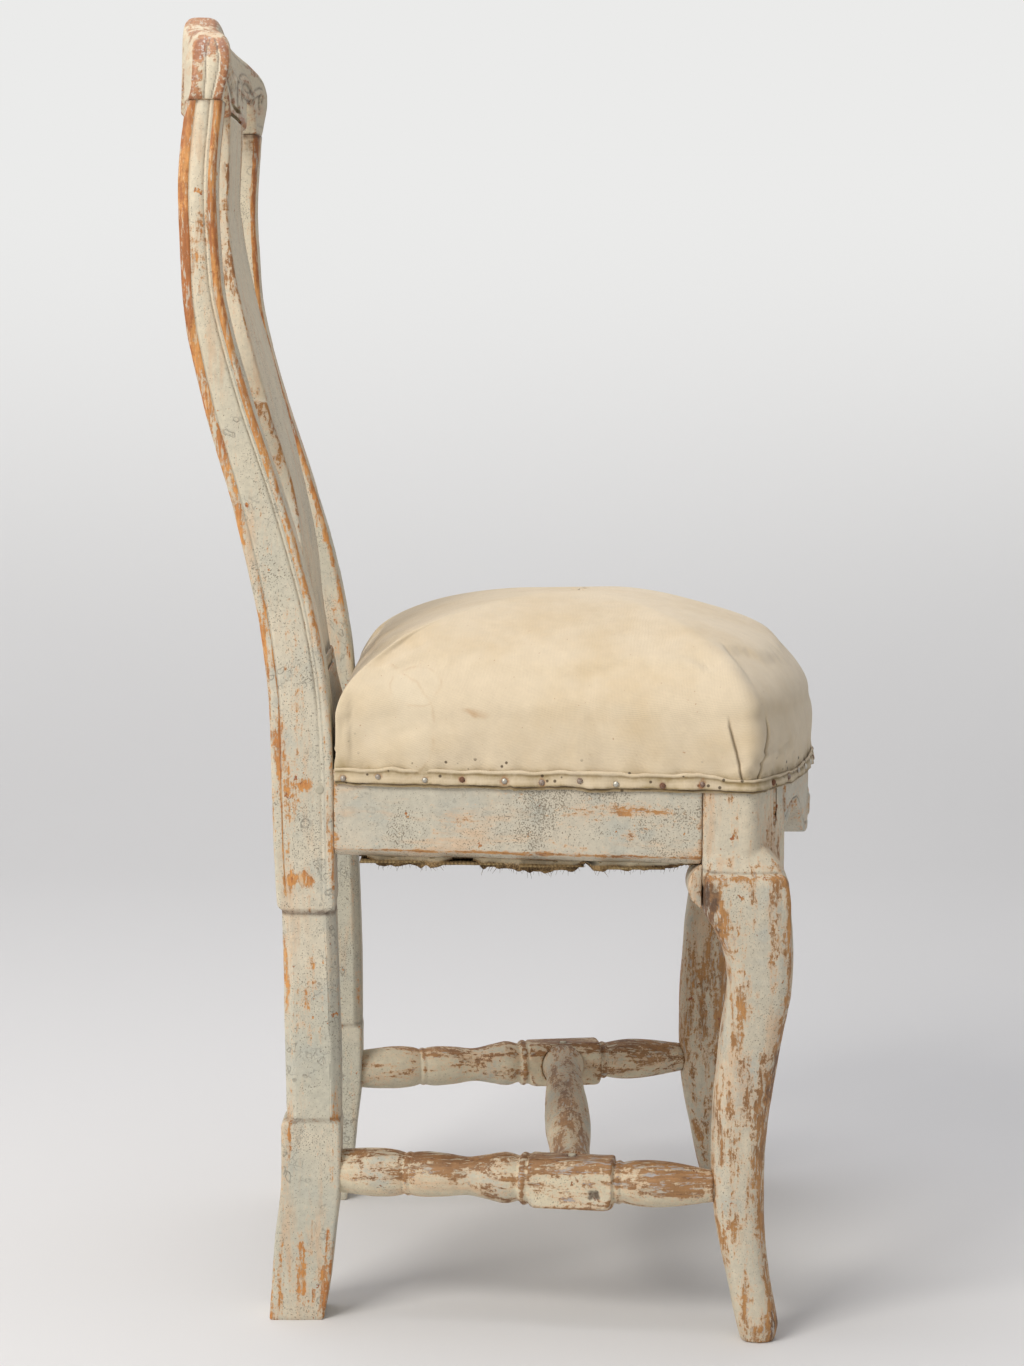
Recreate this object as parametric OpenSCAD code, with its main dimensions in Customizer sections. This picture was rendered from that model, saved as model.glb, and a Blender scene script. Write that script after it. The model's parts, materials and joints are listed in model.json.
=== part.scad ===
// Painted rococo side chair with a bowed seat, cabriole front legs and turned stretchers.
// +Z is up, the chair faces -Y, and the origin is on the floor under the middle of the chair.

/* [Overall] */
// Height from the floor to the top of the crest
total_h = 1033; // [1000:1:1060]
// Height of the top edge of the seat rails
rail_top = 440; // [425:1:455]
// Distance of the back legs' front face behind the origin
post_y = 132; // [122:1:142]
// Spacing of the back legs, centre to centre
back_span = 344; // [330:1:360]
// Length of a side rail between its shoulders, measured front to back
rail_len = 283; // [270:1:300]
// How much further out the seat frame is at the front end of each side rail
rail_flare = 45; // [38:1:52]

/* [Back] */
// Height of the crest in the middle, above its joint with the posts
crest_h = 82; // [76:1:88]
// Width of a back leg across the front, at the seat
leg_w = 44; // [40:1:48]
// Width of a post across the front, at the crest joint
post_top_w = 34; // [30:1:36]
// Depth of a back leg, front to back, at the seat
leg_d = 48; // [45:1:50]
// Depth of a post, front to back, at the crest joint
post_top_d = 26; // [24:1:28]
// How far the posts lean back at their furthest point
rake = 84; // [70:1:95]
// Thickness of the splat
splat_t = 13; // [11:0.5:15]
// Greatest width of the splat
splat_w = 194; // [180:2:210]
// How far the middle of the crest bows back behind its ends
crest_bow = 24; // [15:1:28]
// Height of the crest at its shoulders
crest_shoulder = 54; // [48:1:58]

/* [Seat frame] */
// Height of the seat rails
rail_h = 68; // [60:1:74]
// Thickness of the seat rails
rail_t = 24; // [20:1:28]
// Width of a front leg's corner block
block_w = 56; // [52:1:60]
// How far the front rail bows out at the middle
bow = 64; // [50:1:75]
// Radius of the rounded front corners of the seat
corner_r = 12; // [8:1:16]
// Depth of the apron's two arches, up from the lowest edge
apron_rise = 33; // [24:1:38]

/* [Legs] */
// Height of the ankle's narrowest point above the floor
ankle_h = 120; // [110:1:130]
// How far the knee stands out in front of the corner block
knee_out = 10; // [7:1:12]
// How far the foot turns out from the ankle
foot_out = 15; // [11:1:17]
// Height of the upper shoulder of the back leg's middle section
waist_top = 327; // [318:1:335]
// Height of the lower shoulder of the back leg's middle section
waist_bottom = 161; // [156:1:170]
// Depth of the chamfers on the back leg's middle section
chamfer = 9; // [6:1:11]
// How far the back foot sweeps back
foot_sweep = 13; // [8:1:16]

/* [Stretchers] */
// Height of the stretchers' centre line
stretcher_h = 116; // [112:1:124]
// Greatest diameter of the turned stretchers
stretcher_d = 40; // [36:1:42]
// Side of the square blocks on the side stretchers
stretcher_block = 38; // [36:1:40]
// Length of those blocks
stretcher_block_len = 66; // [60:1:72]

/* [Seat] */
// Height of the cushion's edge roll above the rails
roll_h = 40; // [34:1:46]
// Height of the crown above the edge roll
crown = 83; // [70:1:92]
// Thickness of the calico cover
cover_t = 1.3; // [1:0.1:1.8]
// Depth of the cover's hem on the rails
hem_h = 12; // [10:1:15]
// Spacing of the cover tacks
tack_pitch = 31; // [26:1:36]
// Diameter of a tack's head
tack_d = 5; // [4:0.5:6]
// Width of the webbing
web_w = 52; // [45:1:58]

/* [Hidden] */
$fn = 48;

paint = [0.80, 0.77, 0.68];
calico = [0.93, 0.86, 0.74];
jute = [0.52, 0.43, 0.32];
iron = [0.45, 0.32, 0.22];

// Clearances: glue line of a joint, gap of soft goods, overlap that keeps cuts clean
glue = 0.15;
soft_gap = 0.2;

// Reach of cutting shapes, well past the chair on every side
far = 1200;

// Derived places of the seat frame
joint_h = total_h - crest_h;
rail_bottom = rail_top - rail_h;
leg_x = back_span / 2;
leg_in = leg_x - leg_w / 2;
leg_out = leg_x + leg_w / 2;
front_y = post_y - rail_len;
slope = rail_flare / rail_len;
rail_angle = atan(slope);
block_out = leg_out + rail_flare;
block_in = block_out + slope * block_w * 0.75 - block_w;
corner_x = block_out + slope * block_w * 0.75;
corner_y = front_y - block_w * 0.75;
bow_half = corner_x - 6;
bow_r = (bow_half * bow_half + bow * bow) / (2 * bow);
bow_y = corner_y - bow + bow_r;
tenon_t = 10;
tenon_len = leg_w / 2;
pin_clear = 10;

// Smooth curve through key points [position, value], by cubic pieces
function key_slope(k, i) =
    let (a = max(i - 1, 0), b = min(i + 1, len(k) - 1)) (k[b][1] - k[a][1]) / (k[b][0] - k[a][0]);
function key_at(k, x, i = 0) = (i >= len(k) - 2 || x < k[i + 1][0]) ? i : key_at(k, x, i + 1);
function curve(k, x) =
    let (
        i = key_at(k, x),
        w = k[i + 1][0] - k[i][0],
        t = (x - k[i][0]) / w,
        m0 = key_slope(k, i) * w,
        m1 = key_slope(k, i + 1) * w
    )
    (2 * t * t * t - 3 * t * t + 1) * k[i][1] + (t * t * t - 2 * t * t + t) * m0
        + (3 * t * t - 2 * t * t * t) * k[i + 1][1] + (t * t * t - t * t) * m1;
function steps(a, b, n) = [for (i = [0 : n]) a + (b - a) * i / n];
function arc(c, r, a0, a1, n) = [for (a = steps(a0, a1, n)) c + r * [cos(a), sin(a)]];
function reversed(p) = [for (i = [len(p) - 1 : -1 : 0]) p[i]];

// A drawing in the side view: x runs to the back, y runs up; the extrusion is centred across the chair
module across(w) {
    rotate([90, 0, 90]) linear_extrude(w, center = true) children();
}

// A drawing in the front view: x runs to the left, y runs up; the extrusion is centred front to back
module deep() {
    rotate([90, 0, 0]) linear_extrude(far, center = true) children();
}

// Solid through rings of equal length, closed by its first and last ring
module loft(rings) {
    n = len(rings[0]);
    last = (len(rings) - 1) * n;
    polyhedron(
        points = [for (r = rings) for (p = r) p],
        faces = concat(
            [[for (i = [0 : n - 1]) i]],
            [for (j = [0 : len(rings) - 2]) for (i = [0 : n - 1])
                let (a = j * n + i, b = j * n + (i + 1) % n) each [[a, a + n, b + n], [a, b + n, b]]],
            [[for (i = [n - 1 : -1 : 0]) last + i]]
        )
    );
}

module mirrored() {
    children();
    mirror([1, 0, 0]) children();
}

// Outline of the seat frame, pushed out by o: side lines, rounded front corners and the bowed front
// The corner's centre lies inside the side line and inside the bow by the corner radius
corner_n = [cos(rail_angle), sin(rail_angle)];
side_p = [leg_out, post_y];
corner_base = side_p - corner_r * corner_n;
corner_run = [sin(rail_angle), -cos(rail_angle)];
corner_f = corner_base - [0, bow_y];
corner_b = corner_f * corner_run;
corner_t = -corner_b + sqrt(corner_b * corner_b - corner_f * corner_f + pow(bow_r - corner_r, 2));
corner_c = corner_base + corner_t * corner_run;
bow_end = atan2(corner_c[1] - bow_y, corner_c[0]);
corner_steps = 5;
bow_steps = 24;
function half_outline(o, sides = 0, pull = 0) = concat(
    [side_p + o * corner_n],
    sides > 0 ? [for (i = [0 : sides]) let (t = 0.008 + 0.992 * i / (sides + 1))
        side_p + (o - pull * sin(180 * t)) * corner_n + t * corner_t * corner_run] : [],
    arc(corner_c, corner_r + o, rail_angle, bow_end, corner_steps),
    [for (i = [1 : bow_steps / 2]) let (a = bow_end + (-90 - bow_end) * i / (bow_steps / 2))
        [0, bow_y] + (bow_r + o) * [cos(a), sin(a)]]
);
function outline(o, back = 0, sides = 0, pull = 0) =
    let (h = half_outline(o, sides, pull), n = len(h), first = h[0] + back * [-slope, 1])
    concat(
        [[-first[0], first[1]]],
        [for (i = [1 : n - 2]) [-h[i][0], h[i][1]]],
        [for (i = [n - 1 : -1 : 1]) h[i]],
        [first]
    );
function bow_front(x) = bow_y - sqrt(bow_r * bow_r - x * x);

// Back leg and post: edges in the side view as [height, distance behind the leg's front face]
post_rise = joint_h - rail_top;
// How far the head of a post stands inside the leg's outer face
post_draw = 9;
function up(t) = rail_top + t * post_rise;
post_front = [
    [rail_top, 0.5], [up(0.09), 3], [up(0.17), 8], [up(0.26), 0.2 * rake], [up(0.41), 0.45 * rake],
    [up(0.55), 0.72 * rake], [up(0.7), 0.94 * rake], [up(0.79), 0.985 * rake], [up(0.89), rake],
    [joint_h, 0.94 * rake]
];
post_depth = [
    [rail_top, leg_d], [up(0.17), 0.94 * leg_d], [up(0.41), 39.5], [up(0.7), 32], [up(0.88), 28.5],
    [joint_h, post_top_d]
];
block_front = [[waist_top, -0.5], [rail_bottom, 0], [rail_top, 0.5]];
waist_front = [[waist_bottom - 6, -3], [220, -3], [waist_top + 8, 0.5]];
waist_depth = [[waist_bottom - 6, 42], [220, 43], [waist_top + 8, 41]];
foot_front = [[0, foot_sweep - 2], [30, foot_sweep * 0.45], [66, 2], [101, -2], [waist_bottom, -3.5]];
foot_depth = [[0, 43], [30, 46], [66, 47], [101, 46.5], [waist_bottom, 46.5]];

// Front view of the leg: outer edge and width, as [height, value]
leg_outer = [
    [0, leg_out - 4], [waist_bottom, leg_out - 3], [rail_bottom, leg_out], [rail_top, leg_out],
    [up(0.25), leg_out - 0.5], [up(0.5), leg_out], [up(0.75), leg_out + 3], [up(0.88), leg_out],
    [joint_h, leg_out - post_draw]
];
leg_width = [
    [0, leg_w - 3], [waist_bottom, leg_w - 1], [rail_bottom, leg_w], [rail_top, leg_w], [up(0.5), 38],
    [joint_h, post_top_w]
];

module side_profile(front, depth, z0, z1, n, r0 = 0, r1 = 0) {
    zs = steps(z0 + r0, z1 - r1, n);
    bottom_f = post_y + curve(front, z0 + r0);
    bottom_b = bottom_f + curve(depth, z0 + r0);
    top_f = post_y + curve(front, z1 - r1);
    top_b = top_f + curve(depth, z1 - r1);
    polygon(concat(
        [for (z = zs) [post_y + curve(front, z), z]],
        r1 > 0 ? arc([top_f + r1, z1 - r1], r1, 180, 90, 4) : [],
        r1 > 0 ? arc([top_b - r1, z1 - r1], r1, 90, 0, 4) : [],
        [for (z = reversed(zs)) [post_y + curve(front, z) + curve(depth, z), z]],
        r0 > 0 ? arc([bottom_b - r0, z0 + r0], r0, 0, -90, 4) : [],
        r0 > 0 ? arc([bottom_f + r0, z0 + r0], r0, -90, -180, 4) : []
    ));
}

module front_profile(z0, z1, n, inset = 0) {
    zs = steps(z0, z1, n);
    polygon(concat(
        [for (z = zs) [curve(leg_outer, z) - inset, z]],
        [for (z = reversed(zs)) [curve(leg_outer, z) - curve(leg_width, z) + inset, z]]
    ));
}

// Shallow groove that sets off the bead along an edge of the post's outer face
bead_w = 7;
groove_w = 1.6;
groove_d = 1;
module groove(from_front) {
    z0 = rail_top + 45;
    zs = steps(z0, joint_h + 1, 34);
    function at(z, o) = post_y + curve(post_front, z) + (from_front ? o : curve(post_depth, z) - o);
    intersection() {
        across(far) polygon(concat(
            [for (z = zs) [at(z, bead_w), z]],
            [for (z = reversed(zs)) [at(z, bead_w + groove_w), z]]
        ));
        deep() polygon(concat(
            [for (z = zs) [curve(leg_outer, z) - groove_d, z]],
            [for (z = reversed(zs)) [curve(leg_outer, z) + 5, z]]
        ));
    }
}

// Tenon at the top of a post, and its mortise in the crest when grown by the glue line
crest_tenon = [16, 12, 22];
post_top_x = leg_out - post_draw - post_top_w / 2;
post_top_y = post_y + 0.94 * rake + post_top_d / 2;
module post_tenon(g = 0) {
    translate([post_top_x - crest_tenon[0] / 2 - g, post_top_y - crest_tenon[1] / 2 - g, joint_h - 5])
        cube([crest_tenon[0] + 2 * g, crest_tenon[1] + 2 * g, crest_tenon[2] + 5 + g]);
}

module rear_leg() {
    difference() {
        union() {
            intersection() {
                union() {
                    across(far) side_profile(post_front, post_depth, rail_top - 1, joint_h, 44);
                    across(far) side_profile(block_front, [[waist_top, leg_d - 3], [rail_bottom, leg_d - 1],
                        [rail_top, leg_d]], waist_top, rail_top, 6, 8, 0);
                }
                deep() front_profile(waist_top, joint_h, 40);
            }
            intersection() {
                across(far) side_profile(waist_front, waist_depth, waist_bottom - 6, waist_top + 8, 8);
                deep() front_profile(waist_bottom - 6, waist_top + 8, 8, 1.5);
                translate([leg_x - 2, post_y - 1 + leg_d / 2 - 2, 0]) rotate([0, 0, 45])
                    linear_extrude(rail_top) square((leg_w - chamfer) * sqrt(2), center = true);
            }
            intersection() {
                across(far) side_profile(foot_front, foot_depth, 0, waist_bottom, 16, 1.5, 5);
                deep() front_profile(0, waist_bottom, 8);
            }
            post_tenon();
        }
        groove(true);
        groove(false);
        side_tenon_rear(glue);
        rear_tenon(glue);
        stretcher_cut_rear();
        rail_peg(glue / 2);
    }
}

// Seat rails: each is a straight piece with a shouldered tenon at both ends
tenon_h = rail_h - 22;
tenon_z = rail_bottom + 11;
rear_rail_y = post_y - 4;
rear_rail_t = 28;

module rear_tenon(g = 0) {
    translate([leg_in - 1, rear_rail_y + 10 - g, tenon_z - g])
        cube([tenon_len + 1 + g, tenon_t + 2 * g, tenon_h + 2 * g]);
}

module rear_rail() {
    color(paint) union() {
        translate([-leg_in, rear_rail_y, rail_bottom]) cube([2 * leg_in, rear_rail_t, rail_h]);
        mirrored() rear_tenon();
    }
}

// Side rail: a straight piece that flares out to the front, with a bevelled lower edge and two tenons
module side_tenon_rear(g = 0) {
    translate([leg_out - rail_t / 2 - tenon_t / 2 - g, post_y - 3, tenon_z - g])
        cube([tenon_t + 2 * g, tenon_len + 3 + g, tenon_h + 2 * g]);
}

module side_tenon_front(g = 0) {
    translate([block_out - rail_t / 2 - tenon_t / 2 - g - 1, front_y - tenon_len - g, tenon_z - g])
        cube([tenon_t + 2 * g, tenon_len + 3 + g, tenon_h + 2 * g]);
}

edge_bevel = 6;
module side_rail() {
    difference() {
        union() {
            difference() {
                translate([0, 0, rail_bottom]) linear_extrude(rail_h) polygon([
                    [leg_out, post_y], [block_out, front_y],
                    [block_out - rail_t, front_y], [leg_out - rail_t, post_y]
                ]);
                translate([leg_out, post_y, rail_bottom]) rotate([0, 0, rail_angle])
                    translate([0, -rail_len / 2, 0]) rotate([0, 45, 0])
                    cube([edge_bevel, 2 * rail_len, edge_bevel], center = true);
            }
            side_tenon_rear();
            side_tenon_front();
        }
        rail_peg(glue / 2);
    }
}

// Peg through the rear tenon of a side rail, driven in from the outer face of the leg
peg_d = 7;
peg_len = leg_w / 2 - 2;
rail_peg_at = [leg_out, post_y + 11, rail_top - 16];
module rail_peg(g = 0) {
    translate(rail_peg_at - [peg_len, 0, 0]) rotate([0, 90, 0])
        cylinder(h = peg_len + 0.8, d = peg_d + 2 * g);
}

// Bowed front rail: its lower edge in the front view is [distance from the middle, height]
apron_in = block_in;
apron_edge = [
    [0, 0], [0.32 * apron_in, 0.03 * apron_rise], [0.55 * apron_in, 0.15 * apron_rise],
    [0.65 * apron_in, 0.394 * apron_rise], [0.73 * apron_in, 0.8 * apron_rise],
    [0.8 * apron_in, apron_rise], [0.88 * apron_in, 0.94 * apron_rise], [0.96 * apron_in, 0.72 * apron_rise],
    [apron_in + 6, 0.5 * apron_rise]
];

module front_tenon(g = 0) {
    translate([block_in - 3, bow_front(block_in) + rail_t / 2 - tenon_t / 2 + 2 - g, tenon_z + 16 - g])
        cube([tenon_len + 3 + g, tenon_t + 2 * g, tenon_h - 16 + 2 * g]);
}

module front_rail() {
    xs = steps(0, block_in, 34);
    half = [for (x = xs) [x, rail_bottom + curve(apron_edge, x)]];
    color(paint) union() {
        intersection() {
            translate([0, 0, rail_bottom - 5]) linear_extrude(rail_h + 5) difference() {
                polygon(outline(0));
                polygon(outline(-rail_t));
            }
            deep() polygon(concat(
                [for (p = reversed(half)) [-p[0], p[1]]],
                [for (i = [1 : len(half) - 1]) half[i]],
                [[block_in, rail_top], [-block_in, rail_top]]
            ));
            translate([-block_in, -far, 0]) cube([2 * block_in, far + front_y, far]);
        }
        mirrored() front_tenon();
    }
}

// Cabriole leg: side-view edges as [height, distance in front of the rail's shoulder]
knee_h = rail_bottom - 15;
block_foot = rail_bottom - 32;
block_mid = block_w / 2;
back_line = [
    [0, 32], [22, 26.5], [49, 21], [80, 14.5], [110, 10.5], [ankle_h + 20, 9.3], [186, 10.5],
    [216, 13], [246, 15.5], [272, 19.5], [290, 19.5], [307, 16], [318, 11.5], [329, 5.5],
    [338, 0], [rail_bottom + 20, 0]
];
ankle_front = block_w - 5;
front_line = [
    [0, ankle_front + foot_out - 7], [6, ankle_front + foot_out - 4], [22, ankle_front + foot_out - 6],
    [49, ankle_front + foot_out - 11], [80, ankle_front + 0.5], [110, ankle_front - 0.5],
    [ankle_h + 36, ankle_front + 1], [201, ankle_front + 6], [246, ankle_front + 13],
    [272, ankle_front + 17.5], [303, ankle_front + 19], [339, block_w + knee_out + 2],
    [knee_h, block_w + knee_out + 0.5], [knee_h + 9, block_w + knee_out - 2],
    [knee_h + 17, block_w + knee_out - 6], [knee_h + 23, block_w - 1], [knee_h + 30, block_w - 8]
];
squareness = [[0, 2.3], [60, 2.5], [150, 2.7], [246, 3.2], [300, 4], [345, 6], [400, 7]];
ring_points = 24;
knee_top = rail_bottom + 14;
leg_rings = 30;
block_cx = (block_in + block_out + slope * block_mid) / 2;

function leg_ring(z) =
    let (
        b = curve(back_line, z),
        f = curve(front_line, z),
        c = (b + f) / 2,
        s = (f - b) / 2,
        e = curve(squareness, z)
    )
    [for (i = [0 : ring_points - 1])
        let (
            a = 360 * i / ring_points,
            r = s / pow(pow(abs(cos(a)), e) + pow(abs(sin(a)), e), 1 / e)
        )
        [block_cx + c - block_mid + r * cos(a), front_y - c + r * sin(a), z]];

module front_leg() {
    difference() {
        union() {
            intersection() {
                translate([0, 0, block_foot]) linear_extrude(rail_top - block_foot) polygon(outline(0));
                translate([block_in, -far, 0]) cube([far, far + front_y, far]);
            }
            loft([for (z = steps(0, knee_top, leg_rings)) leg_ring(z)]);
        }
        side_tenon_front(glue);
        front_tenon(glue);
        stretcher_cut_front();
        translate([0, front_y, block_foot]) cube([far, block_w, 2 * rail_h]);
    }
}

// Scroll ear: a slice of a round bar, glued behind the knee under the side rail
ear_r = 19;
ear_axis = [front_y - 8, rail_bottom - 17];
ear_w = 38;
module ear() {
    intersection() {
        translate([block_out - ear_w / 2 - 1, ear_axis[0], ear_axis[1]]) rotate([0, 90, 0])
            cylinder(r = ear_r, h = ear_w, center = true);
        translate([0, front_y, 0]) cube([far, far, rail_bottom]);
        linear_extrude(rail_bottom) polygon(outline(0, 60));
    }
}

// Turned side stretcher, drawn along its own axis from the back leg to the front leg
run_y0 = post_y - 2.5;
run_y1 = front_y - 9.5;
run_dx = (run_y0 - run_y1) * slope;
run_x0 = leg_x - 0.5;
run_len = (run_y0 - run_y1) / cos(rail_angle);
seat_in = 3;
pin_d = 20;
pin_len = 18;
k_turn = run_len / 292;
r_max = stretcher_d / 2;
block_at = 184 * k_turn;
block_z0 = block_at - stretcher_block_len / 2;
block_z1 = block_at + stretcher_block_len / 2;
block_k = stretcher_block_len / stretcher_block / 2;
turned_rear = [
    [-seat_in, 16.5], [6, 17.5], [28, 19], [44, 18.2], [51, 16.5]
];
turned_mid = [
    [59, 17], [66, 17.8], [84, 17], [102, 15], [118, 17.8], [131, r_max], [141, 17.5]
];
turned_front = [
    [0, 16], [8, 17.5], [22, 18.2], [38, 16.5], [54, 13.5], [62, 12.3]
];
ring_w = 8;
ring_r = 17.2;
disc_r = 20.8;

// Outline of a rounded collar between two places on the axis
function collar(z0, z1, r) = [for (a = steps(-90, 90, 6)) [r - (z1 - z0) / 2 * (1 - cos(a)),
    (z0 + z1) / 2 + (z1 - z0) / 2 * sin(a)]];
function turned(k, n) = [for (z = steps(k[0][0], k[len(k) - 1][0], n)) [curve(k, z), z]];

front_span = run_len - block_z1 - ring_w;
module stretcher_turning() {
    mid_end = block_z0 - 9;
    rotate_extrude() polygon(concat(
        [[0, -seat_in]],
        turned(turned_rear, 14),
        [[15.5, 51.5], [15.5, 52.5]],
        collar(52.5, 58.5, ring_r),
        [[16, 58.7]],
        [for (p = turned(turned_mid, 22)) [p[0], 59 + (p[1] - 59) * (mid_end - 59) / 82]],
        [[15.6, mid_end + 0.5], [15.6, mid_end + 1.2]],
        collar(mid_end + 1.2, block_z0 - 1, disc_r),
        [[15, block_z0 - 0.8], [15, block_z1 + 0.8]],
        collar(block_z1 + 1, block_z1 + ring_w - 1, ring_r),
        [[15, block_z1 + ring_w - 0.5]],
        [for (p = turned(turned_front, 18))
            [p[0], block_z1 + ring_w + p[1] * (front_span + seat_in) / 62]],
        [[0, run_len + seat_in]]
    ));
}

module side_stretcher() {
    difference() {
        along_stretcher() {
            stretcher_turning();
            intersection() {
                translate([0, 0, block_at]) cube([stretcher_block, stretcher_block,
                    stretcher_block_len], center = true);
                rotate_extrude() polygon(stretcher_block * [
                    [0, -block_k], [0.526, -block_k], [0.618, 0.053 - block_k], [0.724, 0.21 - block_k],
                    [0.724, block_k - 0.21], [0.618, block_k - 0.053], [0.526, block_k], [0, block_k]
                ] + [for (i = [0 : 7]) [0, block_at]]);
                translate([0, -3, block_at]) rotate([0, 0, 45]) cube([stretcher_block * 1.24,
                    stretcher_block * 1.24, 2 * stretcher_block_len], center = true);
            }
            translate([0, 0, -pin_len]) cylinder(d = pin_d, h = run_len + 2 * pin_len);
        }
        cross_cut();
        stretcher_peg(glue / 2);
    }
}

// The stretcher's axis: z runs from the back leg to the front leg, y points up
module along_stretcher() {
    translate([run_x0, run_y0, stretcher_h]) rotate([90, 0, rail_angle]) children();
}

module stretcher_cut_rear() {
    along_stretcher() union() {
        translate([0, 0, -pin_len - glue]) cylinder(d = pin_d + 2 * glue, h = pin_len + pin_clear);
        translate([0, 0, -seat_in]) cylinder(r = turned_rear[0][1] + 8 * glue, h = stretcher_d);
    }
}

module stretcher_cut_front() {
    along_stretcher() union() {
        translate([0, 0, run_len - pin_clear])
            cylinder(d = pin_d + 2 * glue, h = pin_len + pin_clear + glue);
        translate([0, 0, run_len - 3 * pin_clear])
            cylinder(r = turned_front[5][1] + 8 * glue, h = 3 * pin_clear + seat_in);
    }
}

// Turned cross stretcher between the blocks of the side stretchers
cross_y = run_y0 - block_at * cos(rail_angle);
cross_x = run_x0 + block_at * sin(rail_angle) - stretcher_block / 2 / cos(rail_angle);
cross_pin = 22;
cross_turn = [
    [-1, 19.2], [-0.965, 18.6], [-0.86, 16.4], [-0.62, 16.2], [-0.3, 18.6], [-0.05, 19.4],
    [0.2, 18.6], [0.6, 16.2], [0.86, 16.4], [0.965, 18.6], [1, 19.2]
];
cross_in = 3;
module cross_stretcher() {
    half = cross_x + cross_in;
    color(paint) difference() {
        translate([0, cross_y, stretcher_h]) rotate([0, 90, 0]) union() {
            rotate_extrude() polygon(concat(
                [[0, -half]],
                [for (t = steps(-1, 1, 40)) [curve(cross_turn, t), t * half]],
                [[0, half]]
            ));
            translate([0, 0, -half - cross_pin + cross_in])
                cylinder(d = pin_d - 2, h = 2 * (half + cross_pin - cross_in));
        }
        mirrored() stretcher_peg(glue / 2);
    }
}

module cross_cut() {
    translate([0, cross_y, stretcher_h]) rotate([0, 90, 0]) union() {
        translate([0, 0, cross_x - pin_clear])
            cylinder(d = pin_d - 2 + 2 * glue, h = cross_pin + pin_clear + glue);
        cylinder(r = 19.2 + glue, h = cross_x + cross_in + glue);
    }
}

// Peg driven down through the block and the cross stretcher's pin
stretcher_peg_d = 6;
module stretcher_peg(g = 0) {
    translate([cross_x + 13, cross_y, stretcher_h - 14])
        cylinder(d = stretcher_peg_d + 2 * g, h = 14 + stretcher_block / 2 + 0.6);
}

module joint_pegs() {
    color(paint) mirrored() {
        rail_peg();
        stretcher_peg();
    }
}

// Crest rail: edges in the front view as [distance from the middle, height above the joint]
crest_half = leg_out - post_draw;
crest_rise = crest_h - crest_shoulder;
crest_end = 0.63 * crest_shoulder;
crest_top = [
    [0, crest_h], [0.065 * crest_half, crest_h - 0.04 * crest_rise],
    [0.162 * crest_half, crest_h - 0.286 * crest_rise], [0.27 * crest_half, crest_h - 0.536 * crest_rise],
    [0.432 * crest_half, crest_shoulder + 0.32 * crest_rise],
    [0.649 * crest_half, crest_shoulder + 0.18 * crest_rise], [crest_half - crest_end, crest_shoulder],
    [crest_half - 0.56 * crest_end, 0.89 * crest_shoulder],
    [crest_half - 0.265 * crest_end, 0.704 * crest_shoulder],
    [crest_half - 0.074 * crest_end, 0.444 * crest_shoulder], [crest_half, 0.148 * crest_shoulder]
];
splat_top = 0.31 * splat_w;
crest_under = [
    [0, 0], [splat_top, 0], [1.1 * splat_top, -0.093 * crest_shoulder],
    [1.217 * splat_top, -0.018 * crest_shoulder], [1.433 * splat_top, 0.26 * crest_shoulder],
    [1.733 * splat_top, 0.407 * crest_shoulder],
    [crest_half - 1.647 * post_top_w, 0.315 * crest_shoulder],
    [crest_half - 1.176 * post_top_w, 0.093 * crest_shoulder],
    [crest_half - post_top_w, 0], [crest_half, 0]
];
crest_stations = concat(
    steps(-crest_half, -0.892 * crest_half, 8), steps(-0.86 * crest_half, 0.86 * crest_half, 42),
    steps(0.892 * crest_half, crest_half, 8)
);
function crest_mid(x) = 1 - pow(abs(x) / crest_half, 2);
function crest_front(x, z) =
    post_y + 0.94 * rake + 0.095 * rake * crest_mid(x) + (0.34 * crest_mid(x) - 0.167) * z;
function crest_back(x, z) =
    post_y + 0.94 * rake + post_top_d + crest_bow * crest_mid(x) + 0.24 * (crest_mid(x) - 1) * z;
function crest_ring(x) =
    let (
        a = abs(x),
        z0 = (a < splat_top || a > crest_half - post_top_w) ? 0 : curve(crest_under, a),
        z1 = curve(crest_top, a),
        r = min(0.167 * crest_shoulder, (z1 - z0) / 2.2),
        bevel = a > crest_half - post_top_w ? 0.5 : 3,
        zm = (z0 + z1 - r) / 2
    )
    [for (p = concat(
        [[crest_front(x, z0) + bevel, z0], [crest_back(x, z0) - bevel, z0]],
        [[crest_back(x, z0), z0 + bevel], [crest_back(x, zm), zm]],
        [for (t = steps(0, 90, 3)) [crest_back(x, z1 - r) - r * (1 - cos(t)), z1 - r + r * sin(t)]],
        [for (t = steps(90, 0, 3)) [crest_front(x, z1 - r) + r * (1 - cos(t)), z1 - r + r * sin(t)]],
        [[crest_front(x, zm), zm], [crest_front(x, z0), z0 + bevel]]
    )) [x, p[0], joint_h + p[1]]];

// Splat: front face in the side view, and half widths of its outline, both by height
splat_face = [
    [up(0.078), 0.155 * rake], [up(0.141), 0.202 * rake], [up(0.235), 0.286 * rake],
    [up(0.395), 0.43 * rake], [up(0.552), 0.68 * rake], [up(0.708), 0.93 * rake], [up(0.793), 1.03 * rake],
    [up(0.861), 1.07 * rake], [up(0.92), 1.06 * rake], [up(1.04), 1.02 * rake]
];
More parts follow.
